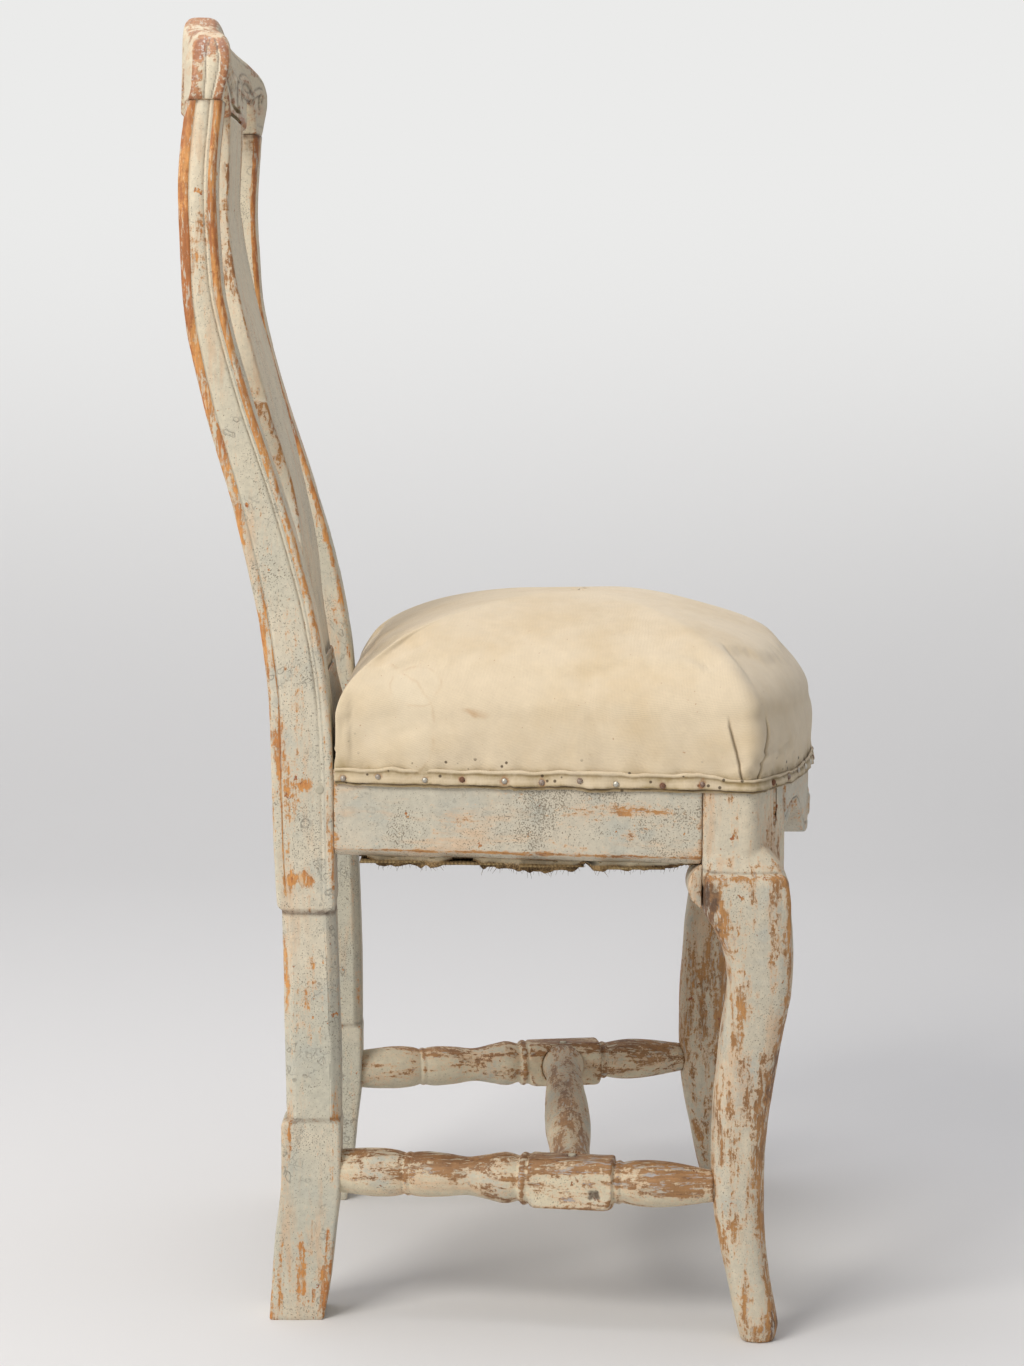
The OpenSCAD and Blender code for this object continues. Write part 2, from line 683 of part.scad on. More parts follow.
// Half widths are shares of the splat's width, at heights that run from 0 at the crest to 1 at the shoe
shoe_h = 72;
shoe_top = rail_top + shoe_h;
splat_foot = shoe_top - 0.22 * shoe_h;
function down(t) = joint_h - t * (joint_h - shoe_top);
splat_upper = [
    [down(0.175), 0.294], [down(0.162), 0.296], [down(0.116), 0.278], [down(0.048), 0.289],
    [down(-0.002), 0.31]
];
splat_middle = [
    [down(0.522), 0.438], [down(0.499), 0.454], [down(0.458), 0.485], [down(0.39), 0.474],
    [down(0.298), 0.433], [down(0.207), 0.371], [down(0.175), 0.345]
];
splat_lower = [
    [down(1.027), 0.31], [down(0.97), 0.304], [down(0.925), 0.294], [down(0.891), 0.33],
    [down(0.845), 0.423], [down(0.8), 0.448], [down(0.754), 0.402], [down(0.697), 0.351],
    [down(0.64), 0.387], [down(0.572), 0.474], [down(0.522), 0.5]
];
function edge_points(k, n) = [for (z = steps(k[0][0], k[len(k) - 1][0], n)) [curve(k, z) * splat_w, z]];
splat_tenon_h = 12;

module splat_tenon(g = 0) {
    w = 1.6 * splat_top;
    y = post_y + curve(splat_face, joint_h) + 2;
    translate([-w / 2 - g, y - g, joint_h - 6])
        cube([w + 2 * g, splat_t - 4 + 2 * g, splat_tenon_h + 6 + g]);
}

module splat_blank(g = 0) {
    zs = steps(splat_foot, joint_h, 48);
    across(far) polygon(concat(
        [for (z = zs) [post_y + curve(splat_face, z) - g, z]],
        [for (z = reversed(zs)) [post_y + curve(splat_face, z) + splat_t + g, z]]
    ));
}

module splat() {
    half = concat(edge_points(splat_lower, 34), edge_points(splat_middle, 22), edge_points(splat_upper, 12));
    color(paint) union() {
        intersection() {
            splat_blank();
            deep() polygon(concat(half, [for (p = reversed(half)) [-p[0], p[1]]]));
        }
        splat_tenon();
    }
}

// Shoe: moulded block on the back rail, with a socket for the foot of the splat
shoe_round = 10;
shoe_half = [
    [0, 0.608], [0.167, 0.598], [0.361, 0.557], [0.556, 0.474], [0.694, 0.428], [0.861, 0.407]
];
shoe_side = [[0, 0.09], [0.278, 0.101], [0.625, 0.143], [0.889, 0.173], [1, 0.184]];
module splat_shoe() {
    back = rear_rail_y + rear_rail_t;
    half = concat(
        [for (t = steps(0, 1 - shoe_round / shoe_h, 14))
            [curve(shoe_half, t) * splat_w, rail_top + t * shoe_h]],
        arc([0.407 * splat_w - shoe_round, shoe_top - shoe_round], shoe_round, 0, 90, 6)
    );
    color(paint) difference() {
        intersection() {
            deep() polygon(concat(half, [for (p = reversed(half)) [-p[0], p[1]]]));
            across(far) polygon(concat(
                [for (t = steps(0, 1, 10)) [post_y + curve(shoe_side, t) * rake, rail_top + t * shoe_h]],
                [[back + 8, shoe_top], [back + 8, shoe_top - 0.28 * shoe_h],
                    [back, rail_top + 0.28 * shoe_h], [back, rail_top]]
            ));
        }
        intersection() {
            splat_blank(glue);
            translate([-splat_top - glue, 0, splat_foot - glue])
                cube([2 * (splat_top + glue), far, shoe_h]);
        }
    }
}

module crest_rail() {
    color(paint) difference() {
        loft([for (x = crest_stations) crest_ring(x)]);
        mirrored() post_tenon(glue);
        splat_tenon(glue);
    }
}

// Seat: webbing and hessian under the rails, stuffing, nailed cover
cloth_t = 1.2;
web_t = 2;
web_long_x = [-1.5 * web_w, 0, 1.5 * web_w];
web_first = 45;
web_cross_y = [for (i = [0 : 3]) post_y - web_first - i * (rail_len - web_first + 3) / 3.9];
web_tack_d = 7;
web_tack_len = 11;
cloth_z = rail_bottom - cloth_t;
web_long_z = cloth_z - web_t;
web_cross_z = web_long_z - web_t;
cloth_in = 9;

module keep_out(o) {
    mirrored() {
        translate([block_in - o, -far]) square([far, far + front_y + o]);
        translate([leg_in - o, post_y - o]) square(far);
    }
}

// Hessian under the rails: up to the apron's inner face, with a tab under its lowest part
module base_cloth() {
    color(jute) translate([0, 0, cloth_z]) linear_extrude(cloth_t) difference() {
        intersection() {
            polygon(outline(-cloth_in, 20));
            translate([-far, -far]) square([2 * far, far + rear_rail_y + rear_rail_t - 8]);
            union() {
                translate([-far, front_y]) square([2 * far, far]);
                translate([-0.5 * apron_in, -far]) square([apron_in, far]);
                polygon(outline(-rail_t - 1));
            }
        }
        keep_out(1);
    }
}

module webbing_long() {
    color(jute) for (x = web_long_x) intersection() {
        translate([x - web_w / 2, -far, web_long_z])
            cube([web_w, far + rear_rail_y + rear_rail_t - 5, web_t]);
        linear_extrude(rail_top) polygon(outline(-cloth_in + 3, 60));
    }
}

module webbing_cross() {
    color(jute) for (y = web_cross_y) intersection() {
        translate([-far / 2, y - web_w / 2, web_cross_z]) cube([far, web_w, web_t]);
        linear_extrude(rail_top) polygon(outline(-cloth_in + 4));
    }
}

// Nail with a flat round head, pointing up; the head's underside is at the origin
module nail() {
    rotate_extrude() polygon([[0, web_tack_len], [web_tack_d / 8, 0], [web_tack_d / 2, 0],
        [web_tack_d / 2, -0.8], [0, -1]]);
}

module webbing_tacks() {
    side_x = function(y) leg_out + (post_y - y) * slope - rail_t * 0.62;
    color(iron) {
        for (x = web_long_x) for (dx = [-0.3, 0.3]) {
            translate([x + dx * web_w, rear_rail_y + rear_rail_t / 2, web_long_z]) nail();
            translate([x + dx * web_w, bow_front(x + dx * web_w) + rail_t * 0.55, web_long_z]) nail();
        }
        for (y = web_cross_y) for (dy = [-0.3, 0.3]) mirrored()
            translate([side_x(y + dy * web_w), y + dy * web_w, web_cross_z]) nail();
    }
}

// Cushion rings: skirt, edge roll and an elliptic crown, as copies of the seat's outline.
// The cushion stands just in front of the posts, and its sides are drawn in between the corners.
seat_mid = (post_y + bow_y - bow_r) / 2;
roll_top = rail_top + roll_h;
side_swell = 1.2;
side_pull = 2.5;
side_points = 3;
stand_off = 0.3;
dome_n = 8;
function seat_ring(o, z, pull = 0, puff = 0) = [for (q = outline(o + puff, 0, side_points, pull))
    [q[0], min(q[1], post_y - stand_off - cover_t + o), z]];
roll_from = 0.02;
function roll_ring(o, t) =
    let (u = t - roll_from) seat_ring(o, rail_top + t * roll_h, side_pull * u, side_swell * sin(180 * u));
function crown_ring(o, lift, a) = [for (q = seat_ring(o, 0, side_pull))
    [q[0] * cos(a), seat_mid + (q[1] - seat_mid) * cos(a), roll_top + lift * sin(a)]];
function dome_rings(o, lift) = concat(
    [for (t = [roll_from, 0.4, 0.8]) roll_ring(o, t)],
    [for (a = steps(2, 87.5, dome_n)) crown_ring(o, lift, a)]
);

module stuffing() {
    color(jute) union() {
        translate([0, 0, rail_bottom]) linear_extrude(rail_h + 1) difference() {
            intersection() {
                polygon(outline(-rail_t - soft_gap, 40));
                translate([-far, -far]) square([2 * far, far + rear_rail_y - soft_gap]);
            }
            keep_out(soft_gap);
        }
        loft(concat([seat_ring(-soft_gap, rail_top)], dome_rings(-soft_gap, crown - cover_t - soft_gap)));
    }
}

// The skirt hangs over the sides and the front, and stands on the back rail between the posts
function skirt_ring(o) =
    let (r = seat_ring(o, rail_top - hem_h), last = len(r) - 1)
    [for (i = [0 : last]) (i == 0 || i == last) ? [r[i][0], r[i][1], rail_top] : r[i]];

module seat_cover() {
    inner = concat([skirt_ring(0)], dome_rings(0, crown - cover_t));
    outer = concat([skirt_ring(cover_t)], dome_rings(cover_t, crown));
    color(calico) loft(concat(reversed(inner), outer));
}

module cover_hem() {
    color(calico) translate([0, 0, rail_top - hem_h]) linear_extrude(hem_h) difference() {
        polygon(outline(cover_t + 1));
        polygon(outline(cover_t + glue, 1));
        translate([-far, post_y - stand_off]) square([2 * far, far]);
    }
}

// Cover tacks: evenly spaced along each side and round the bowed front
tack_z = rail_top - hem_h / 2;
tack_out = cover_t + 1;
side_run = norm([block_out, front_y] - [leg_out, post_y]) + block_w * 0.6;
side_tacks = floor(side_run / tack_pitch);
bow_sweep = 2 * (90 + bow_end) - 4;
front_tacks = floor(bow_sweep * PI / 180 * bow_r / tack_pitch);

module tack() {
    rotate_extrude() polygon([[0, -9], [0.9, 0], [tack_d / 2, 0], [tack_d / 4, 1.2], [0, 1.4]]);
}

module cover_tacks() {
    color(iron) {
        mirrored() for (i = [0 : side_tacks - 1]) {
            p = side_p + tack_out * corner_n + corner_run * (8 + i * tack_pitch);
            translate([p[0], p[1], tack_z]) rotate([0, 0, rail_angle]) rotate([0, 90, 0]) tack();
        }
        for (i = [0 : front_tacks]) {
            a = -90 + bow_sweep * (i / front_tacks - 0.5);
            translate([0, bow_y, tack_z]) rotate([0, 0, a]) translate([bow_r + tack_out, 0, 0])
                rotate([0, 90, 0]) tack();
        }
    }
}

color(paint) rear_leg();  // rear_leg_left
color(paint) mirror([1, 0, 0]) rear_leg();  // rear_leg_right
crest_rail();
splat();
splat_shoe();
rear_rail();
color(paint) side_rail();  // side_rail_left
color(paint) mirror([1, 0, 0]) side_rail();  // side_rail_right
front_rail();
color(paint) front_leg();  // front_leg_left
color(paint) mirror([1, 0, 0]) front_leg();  // front_leg_right
color(paint) ear();  // ear_left
color(paint) mirror([1, 0, 0]) ear();  // ear_right
color(paint) side_stretcher();  // side_stretcher_left
color(paint) mirror([1, 0, 0]) side_stretcher();  // side_stretcher_right
cross_stretcher();
joint_pegs();
base_cloth();
webbing_long();
webbing_cross();
webbing_tacks();
stuffing();
seat_cover();
cover_hem();
cover_tacks();
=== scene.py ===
"""Looks of a painted rococo side chair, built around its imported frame.

Metres, +Z up, the chair faces -Y, and the origin is on the floor under its middle. The wood is
re-carved from the frame's own solids with soft, worn arrises; the seat is sewn over them.
"""

import itertools
import json
import logging
import math
from dataclasses import dataclass, field
from enum import Enum

import bpy
import numpy as np
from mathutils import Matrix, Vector
from mathutils.bvhtree import BVHTree

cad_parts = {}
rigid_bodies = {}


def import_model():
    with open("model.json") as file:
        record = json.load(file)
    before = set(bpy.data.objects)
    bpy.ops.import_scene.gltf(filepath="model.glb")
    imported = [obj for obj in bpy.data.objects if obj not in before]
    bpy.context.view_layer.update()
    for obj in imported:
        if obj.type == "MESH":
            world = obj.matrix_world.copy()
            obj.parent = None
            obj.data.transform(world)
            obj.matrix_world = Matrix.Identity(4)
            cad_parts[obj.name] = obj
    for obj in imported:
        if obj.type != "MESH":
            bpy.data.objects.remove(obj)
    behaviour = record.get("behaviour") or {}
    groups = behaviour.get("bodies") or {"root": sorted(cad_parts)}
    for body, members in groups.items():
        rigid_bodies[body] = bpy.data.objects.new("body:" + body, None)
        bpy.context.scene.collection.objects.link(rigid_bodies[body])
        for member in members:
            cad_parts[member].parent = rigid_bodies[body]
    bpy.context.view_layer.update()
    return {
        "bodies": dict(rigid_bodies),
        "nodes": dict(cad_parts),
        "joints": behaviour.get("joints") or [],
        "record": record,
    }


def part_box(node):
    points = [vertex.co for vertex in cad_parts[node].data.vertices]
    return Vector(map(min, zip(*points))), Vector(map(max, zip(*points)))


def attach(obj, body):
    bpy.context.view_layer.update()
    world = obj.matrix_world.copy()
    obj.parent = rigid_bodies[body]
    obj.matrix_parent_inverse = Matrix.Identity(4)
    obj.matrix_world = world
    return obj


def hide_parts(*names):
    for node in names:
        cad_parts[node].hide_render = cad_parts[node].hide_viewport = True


LOG = logging.getLogger("rococo_chair")
MM = 0.001
BODY = "root"
DRAW = 9 * MM  # how far the front edge of the webbing and hessian is drawn up
CURL = 7.5  # how far a scroll curls, in radians
BOW_FROM, LESS_BOW = -0.2179, 0.12  # where the seat's bowed front begins, and the share of it taken off

Array = np.ndarray
Mesh = bpy.types.Mesh
Object = bpy.types.Object
Material = bpy.types.Material
Tree = bpy.types.NodeTree
Socket = bpy.types.NodeSocket
Profile = tuple[tuple[float, float], ...]
Rows = tuple[tuple[float, ...], ...]


class Side(Enum):
    """The sitter's left and right side of the chair."""

    LEFT = 1
    RIGHT = -1

    @property
    def out(self) -> int:
        """Way along X from the middle to that side."""
        return self.value

    @property
    def word(self) -> str:
        """Word used in the names of that side's pieces."""
        return self.name.lower()


class Grain(Enum):
    """Axis that a piece's wood grain runs along, as pattern scales across and along it."""

    ACROSS = (0.16, 1.0, 1.0)
    DEPTH = (1.0, 0.16, 1.0)
    UPRIGHT = (1.0, 1.0, 0.16)


def linear(code: str) -> tuple[float, float, float, float]:
    """Turns an sRGB hex colour to linear light.

    Args:
        code: six hex digits.

    Returns:
        Red, green, blue and an alpha of one.
    """
    parts = [int(code[i : i + 2], 16) / 255 for i in (0, 2, 4)]
    return (*(c / 12.92 if c <= 0.04045 else ((c + 0.055) / 1.055) ** 2.4 for c in parts), 1.0)


def put(tree: Tree, kind: str, inputs: dict | None = None, out: int = 0, **settings) -> Socket:
    """Adds a node with its settings and links.

    Args:
        tree: the node tree.
        kind: the node's type name.
        inputs: socket name or place to a value, or to the socket that feeds it.
        out: which output to hand back.
        **settings: properties of the node.

    Returns:
        The chosen output socket, or None if the node has none.
    """
    made = tree.nodes.new(kind)
    for key, value in settings.items():
        setattr(made, key, value)
    for key, value in (inputs or {}).items():
        socket = made.inputs[key]
        if isinstance(value, Socket):
            tree.links.new(value, socket)
        else:
            socket.default_value = value
    return made.outputs[out] if made.outputs else None


MATH = "ShaderNodeMath"
MAP = "ShaderNodeMapRange"
MIX = "ShaderNodeMix"
NOISE = "ShaderNodeTexNoise"
CELLS = "ShaderNodeTexVoronoi"
VALUE_OF = "ShaderNodeAttribute"
SHADER = "ShaderNodeBsdfPrincipled"
OUTPUT = "ShaderNodeOutputMaterial"


def calc(tree: Tree, kind: str, *values: float | Socket) -> Socket:
    """Works out one number from others."""
    return put(tree, MATH, dict(enumerate(values)), operation=kind)


def times(tree: Tree, first: Socket, second: float | Socket) -> Socket:
    """Multiplies two numbers."""
    return calc(tree, "MULTIPLY", first, second)


def plus(tree: Tree, value: Socket, share: float | Socket, base: float | Socket) -> Socket:
    """Adds a share of a number to a base."""
    return calc(tree, "MULTIPLY_ADD", value, share, base)


def ramp(
    tree: Tree, value: Socket, low: float, high: float, start: float = 0.0, end: float | Socket = 1.0
) -> Socket:
    """Eases from start to end as a value goes from low to high."""
    return put(tree, MAP, {0: value, 1: low, 2: high, 3: start, 4: end}, interpolation_type="SMOOTHSTEP")


def noise(tree: Tree, spot: Socket, scale: float, detail: float = 3.0, rough: float = 0.6) -> Socket:
    """Cloudy noise from 0 to 1 around a half."""
    return put(tree, NOISE, {"Vector": spot, "Scale": scale, "Detail": detail, "Roughness": rough})


def blend(
    tree: Tree, share: float | Socket, first: str | Socket, second: str | Socket, kind: str = "MIX"
) -> Socket:
    """Mixes a share of a second colour into a first; each is a hex code or a socket."""
    pair = [linear(c) if isinstance(c, str) else c for c in (first, second)]
    return put(tree, MIX, {0: share, 6: pair[0], 7: pair[1]}, 2, data_type="RGBA", blend_type=kind)


def ranged(tree: Tree, value: Socket, start: float, end: float, low: float = 0.0, high: float = 1.0) -> Socket:
    """Runs evenly from start to end as a value goes from low to high."""
    return put(tree, MAP, {0: value, 1: low, 2: high, 3: start, 4: end})


def shaken(tree: Tree, spot: Socket, by: float, scale: float, detail: float = 2.0) -> Socket:
    """Shifts coordinates about with noise."""
    sway = put(tree, NOISE, {"Vector": spot, "Scale": scale, "Detail": detail}, 1)
    return blend(tree, by, spot, sway, "ADD")


def woven(tree: Tree, spot: Socket, pitch: float, distortion: float, detail: float) -> list[Socket]:
    """Stripes of the warp and of the weft."""
    inputs = {"Vector": spot, "Scale": math.pi / 10 / pitch, "Distortion": distortion, "Detail": detail}
    return [put(tree, "ShaderNodeTexWave", inputs, 1, bands_direction=way) for way in ("X", "Y")]


def shader(
    tree: Tree, colour: Socket, rough: float | Socket, relief: tuple[Socket, float, float] | None = None, **more
) -> Socket:
    """Makes a surface shader.

    Args:
        tree: the node tree.
        colour: its colour.
        rough: its roughness.
        relief: height, strength and depth in metres of its bumps.
        **more: its other inputs, with low lines for the spaces of their names.

    Returns:
        The shader.
    """
    inputs = {"Base Color": colour, "Roughness": rough, **{k.replace("_", " "): v for k, v in more.items()}}
    if relief:
        height, strength, depth = relief
        inputs["Normal"] = put(tree, "ShaderNodeBump", {"Strength": strength, "Distance": depth, "Height": height})
    return put(tree, SHADER, inputs)


def kept_values(tree: Tree) -> list[Socket]:
    """Reads the edge, wear and grime values of a piece's points, which on some pieces carry painted shade."""
    return [put(tree, VALUE_OF, out=2, attribute_name=name) for name in ("edge", "wear", "grime")]


@dataclass(frozen=True)
class Finish:
    """A material drawn with nodes."""

    name: str

    def surface(self, t: Tree, spot: Socket) -> Socket:
        """Draws the surface shader from the object's own coordinates."""
        raise NotImplementedError

    def build(self) -> Material:
        """Builds the material."""
        material = bpy.data.materials.new(self.name)
        material.use_nodes = True
        tree = material.node_tree
        tree.nodes.clear()
        put(tree, OUTPUT, {"Surface": self.surface(tree, put(tree, "ShaderNodeTexCoord", out=3))})
        return material


@dataclass(frozen=True)
class PaintedWood(Finish):
    """Old distemper over beech, worn through on the arrises.

    Gives the eye a dry grey-green coat with cream and pink clouds, fine dark specks and bubble rings,
    a pink-ochre priming that shows in streaks, bare ochre and brown wood along the arrises with
    crumbs of coat left on it, red-brown chips and dirt in the hollows. Reads the points' edge (how
    sharp and proud), wear (extra rubbing) and grime (sheltered hollows, and on some pieces painted
    shade).
    """

    grain: Grain
    coat: str = "CAC5B3"
    cloud: str = "DACFB8"
    cool: str = "B5B6AC"
    prime: str = "D9B28A"
    bare: str = "C08B52"
    rubbed: str = "85583A"
    chip: str = "99593A"
    ash: str = "C9C4B9"
    dirt: str = "4D443A"
    bias: float = 0.0
    speckle: float = 1.0
    rings: float = 0.0
    cream_from: float = 9.0
    gloss: float = 0.0

    def rubbing(self, t: Tree, along: Socket, broad: Socket, flake: Socket) -> Socket:
        """How far the coat is rubbed: arrises and hand-worn places first, broken up by streaks.

        Args:
            t: the node tree.
            along: coordinates along the grain.
            broad: the widest noise.
            flake: the finest noise.

        Returns:
            A number that is 0 on sound paint and above a quarter on bare wood.
        """
        edge, wear, _ = kept_values(t)
        streak = noise(t, along, 85.0, 7.0, 0.72)
        total = plus(t, edge, 0.44, self.bias - 1.5)
        for level, weight in ((wear, 0.9), (streak, 1.6), (flake, 0.9), (broad, 0.5)):
            total = plus(t, level, weight, total)
        return total

    def coating(self, t: Tree, spot: Socket, along: Socket, broad: Socket, tint: Socket) -> Socket:
        """Colours the sound coat.

        Args:
            t: the node tree.
            spot: the object's coordinates.
            along: coordinates along the grain.
            broad: the widest noise.
            tint: the middle noise.

        Returns:
            The coat's colour.
        """
        base = blend(t, ramp(t, broad, 0.36, 0.64), self.coat, self.cloud)
        base = blend(t, ramp(t, tint, 0.48, 0.7, end=0.7), base, self.cool)
        height = put(t, "ShaderNodeSeparateXYZ", {0: spot}, 2)
        base = blend(t, ramp(t, height, self.cream_from, self.cream_from + 0.35, end=0.7), base, "E2D4B8")
        warm = noise(t, along, 60.0, 5.0, 0.7)
        return blend(t, ramp(t, warm, 0.5, 0.7, end=0.55), base, self.prime)

    def bubbles(self, t: Tree, spot: Socket, broad: Socket) -> Socket:
        """Rings 4 to 9 mm wide and hairlines, where the coat has blistered."""
        bent = shaken(t, spot, 0.012, 90.0)
        away = put(t, CELLS, {"Vector": bent, "Scale": 105.0})
        picked = put(t, CELLS, {"Vector": bent, "Scale": 105.0}, 1)
        line = ramp(t, calc(t, "ABSOLUTE", calc(t, "SUBTRACT", away, 0.3)), 0.02, 0.075, 1.0, 0.0)
        line = times(t, line, ramp(t, picked, 0.45, 0.6))
        split = put(t, CELLS, {"Vector": bent, "Scale": 70.0}, feature="DISTANCE_TO_EDGE")
        split = times(t, ramp(t, split, 0.0, 0.03, 0.8, 0.0), ramp(t, picked, 0.4, 0.55))
        where = ramp(t, broad, 0.47, 0.6, end=self.rings)
        return times(t, calc(t, "MAXIMUM", line, split), where)

    def surface(self, t: Tree, spot: Socket) -> Socket:
        """Draws the paint and the bare wood."""
        along = put(t, "ShaderNodeMapping", {"Vector": spot, "Scale": self.grain.value})
        # Clouds 110 mm, tints 38 mm, flakes 5 mm, and wood fibres 2.5 mm across the grain
        broad = noise(t, spot, 9.0, 3.0, 0.55)
        tint = noise(t, spot, 26.0, 4.0)
        flake = noise(t, spot, 190.0, 6.0, 0.75)
        fibre = noise(t, along, 420.0)
        rub = self.rubbing(t, along, broad, flake)
        wash, through, deep = ramp(t, rub, 0.06, 0.26), ramp(t, rub, 0.2, 0.26), ramp(t, rub, 0.4, 0.62)

        base = self.coating(t, spot, along, broad, tint)
        mottle = ranged(t, flake, 0.86, 1.1, 0.32, 0.7)
        base = blend(t, 1.0, base, mottle, "MULTIPLY")
        # Dark pin specks a millimetre wide, gathered in clouds
        crowd = ramp(t, noise(t, spot, 15.0, 3.0), 0.38, 0.66, 0.0, 0.1 * self.speckle)
        pins = calc(t, "ADD", noise(t, spot, 880.0, 1.0, 0.5), crowd)
        pins = ramp(t, pins, 0.685, 0.74, end=0.75)
        base = blend(t, pins, base, "7A6E5C")
        rings = self.bubbles(t, spot, tint)
        base = blend(t, rings, base, "878072")

        # Bare wood, ochre to polished brown, with crumbs of the coat left on it
        lines = ranged(t, fibre, 0.74, 1.14, 0.3, 0.7)
        wood = blend(t, ramp(t, tint, 0.44, 0.62, end=0.6), self.bare, self.rubbed)
        wood = blend(t, 1.0, blend(t, deep, wood, self.rubbed), lines, "MULTIPLY")
        crumbs = ramp(t, noise(t, along, 300.0, 5.0, 0.75), 0.53, 0.6, end=0.8)
        wood = blend(t, crumbs, wood, blend(t, ramp(t, tint, 0.4, 0.55), self.ash, self.coat))
        worn = blend(t, times(t, wash, 0.8), base, self.prime)
        worn = blend(t, through, worn, wood)

        # Chips 3 to 12 mm knocked off the flat of the coat
        knocks = noise(t, spot, 125.0, 4.0, 0.62)
        knocks = calc(t, "ADD", knocks, ramp(t, noise(t, spot, 14.0, 1.0), 0.42, 0.72, 0.0, 0.1))
        knocks = ramp(t, knocks, 0.725, 0.74)
        worn = blend(t, knocks, worn, blend(t, ramp(t, flake, 0.4, 0.6), self.chip, self.bare))

        # The grime value darkens to the dirt colour; on the crest's front and on the posts under the crest it is
        # painted shade as well as dirt
        grime = kept_values(t)[2]
        soil = ramp(t, times(t, grime, flake), 0.12, 0.62, end=0.85)
        colour = blend(t, soil, worn, self.dirt)

        # Relief: the coat is 0.3 mm thick, with pits, chips, cracks and raised fibres
        relief = plus(t, through, -0.7, 0.7)
        for level, depth in ((knocks, -0.6), (pins, -0.5), (rings, -0.6), (fibre, 0.3), (flake, 0.8)):
            relief = plus(t, level, depth, relief)
        matt = plus(t, through, -0.14, 0.66 - self.gloss)
        matt = plus(t, flake, 0.12, matt)
        return shader(t, colour, matt, (relief, 0.8, 0.45 * MM))


@dataclass(frozen=True)
class Calico(Finish):
    """Unbleached plain-weave cotton, washed and aged.

    Gives the eye a warm cream with a faint square weave, cloudy yellowing, the thin tide lines of an
    old spill, rust round the tacks (the points' wear), dirt along the hem (their grime) and painted
    shade in the creases and folds (their edge). The weave follows the cloth's own flat map, and is
    drawn at 1.1 mm where the real thread is 0.5 mm, so that it shows.
    """

    cream: str = "E2D0B2"
    aged: str = "D8C19B"
    soil: str = "97804F"
    tides: tuple[tuple[tuple[float, float, float], float, float], ...] = (
        ((-0.193, 0.068, 0.507), 0.019, 0.2), ((-0.2, 0.107, 0.473), 0.054, 0.17),
    )
    smears: Rows = ((-0.211, 0.021, 0.486), (-0.198, 0.066, 0.524))
    weave: float = 1.1 * MM

    def spills(self, t: Tree, spot: Socket, colour: Socket) -> Socket:
        """Draws the tide lines of a dried spill on the near side, and two short smears.

        Args:
            t: the node tree.
            spot: the object's coordinates.
            colour: the cloth's colour.

        Returns:
            The stained colour.
        """
        shift = 0.014
        bent = shaken(t, spot, shift, 42.0, 3.0)
        for at, radius, strength in self.tides:
            middle = tuple(c + shift / 2 for c in at)
            away = put(t, "ShaderNodeVectorMath", {0: bent, 1: middle}, 1, operation="DISTANCE")
            inside = ramp(t, away, radius - 0.004, radius, 0.14, 0.0)
            colour = blend(t, inside, colour, "EADFC6")
            line = ramp(t, calc(t, "ABSOLUTE", calc(t, "SUBTRACT", away, radius)), 0.0, 0.0018, strength, 0.0)
            line = times(t, line, ramp(t, noise(t, spot, 70.0, 2.0), 0.38, 0.6))
            colour = blend(t, line, colour, "B98E5C")
        for at in self.smears:
            stretch = (1.0, 0.5, 2.0)
            back = [-(c + shift / 2) * s for c, s in zip(at, stretch)]
            flat = put(t, "ShaderNodeMapping", {"Vector": bent, "Scale": stretch, "Location": back})
            away = put(t, "ShaderNodeVectorMath", {0: flat}, 1, operation="LENGTH")
            colour = blend(t, ramp(t, away, 0.001, 0.008, 0.6, 0.0), colour, "BC905F")
        return colour

    def surface(self, t: Tree, spot: Socket) -> Socket:
        """Draws the cloth."""
        flat = put(t, "ShaderNodeTexCoord", out=2)
        painted_crease_shade, rust, soil = kept_values(t)
        slub = noise(t, spot, 90.0, 4.0, 0.65)
        cloth = calc(t, "MAXIMUM", *woven(t, shaken(t, flat, 0.004, 30.0), self.weave, 0.6, 2.0))
        colour = blend(t, ramp(t, noise(t, spot, 11.0, 4.0), 0.42, 0.72, end=0.8), self.cream, self.aged)
        colour = blend(t, 1.0, colour, ranged(t, cloth, 0.87, 1.04), "MULTIPLY")
        colour = blend(t, 1.0, colour, ranged(t, slub, 0.95, 1.03, 0.3, 0.7), "MULTIPLY")
        colour = self.spills(t, spot, colour)

        # Foxing, dirt where the cloth meets the wood, folds in shade, and rust round the tacks
        colour = blend(t, ramp(t, noise(t, spot, 330.0, 1.0), 0.765, 0.79, end=0.5), colour, "A8703F")
        colour = blend(t, ramp(t, times(t, slub, soil), 0.08, 0.62, end=0.85), colour, self.soil)
        # Painted shade: the edge value darkens the creases and folds
        colour = blend(t, painted_crease_shade, colour, "6E5A3E")
        # Old tack holes 2 mm wide where the cloth is dirty
        hole = ramp(t, put(t, CELLS, {"Vector": spot, "Scale": 105.0}), 0.1, 0.16, 0.85, 0.0)
        colour = blend(t, times(t, hole, ramp(t, soil, 0.1, 0.25)), colour, "4A3A28")
        spread = plus(t, noise(t, spot, 240.0), 0.8, rust)
        colour = blend(t, ramp(t, spread, 0.62, 1.05, end=0.8), colour, "A5632F")

        height = plus(t, slub, 0.5, cloth)
        sheen = {"Sheen_Weight": 0.25, "Sheen_Roughness": 0.5, "Specular_IOR_Level": 0.25}
        return shader(t, colour, 0.92, (height, 0.6, 0.25 * MM), **sheen)


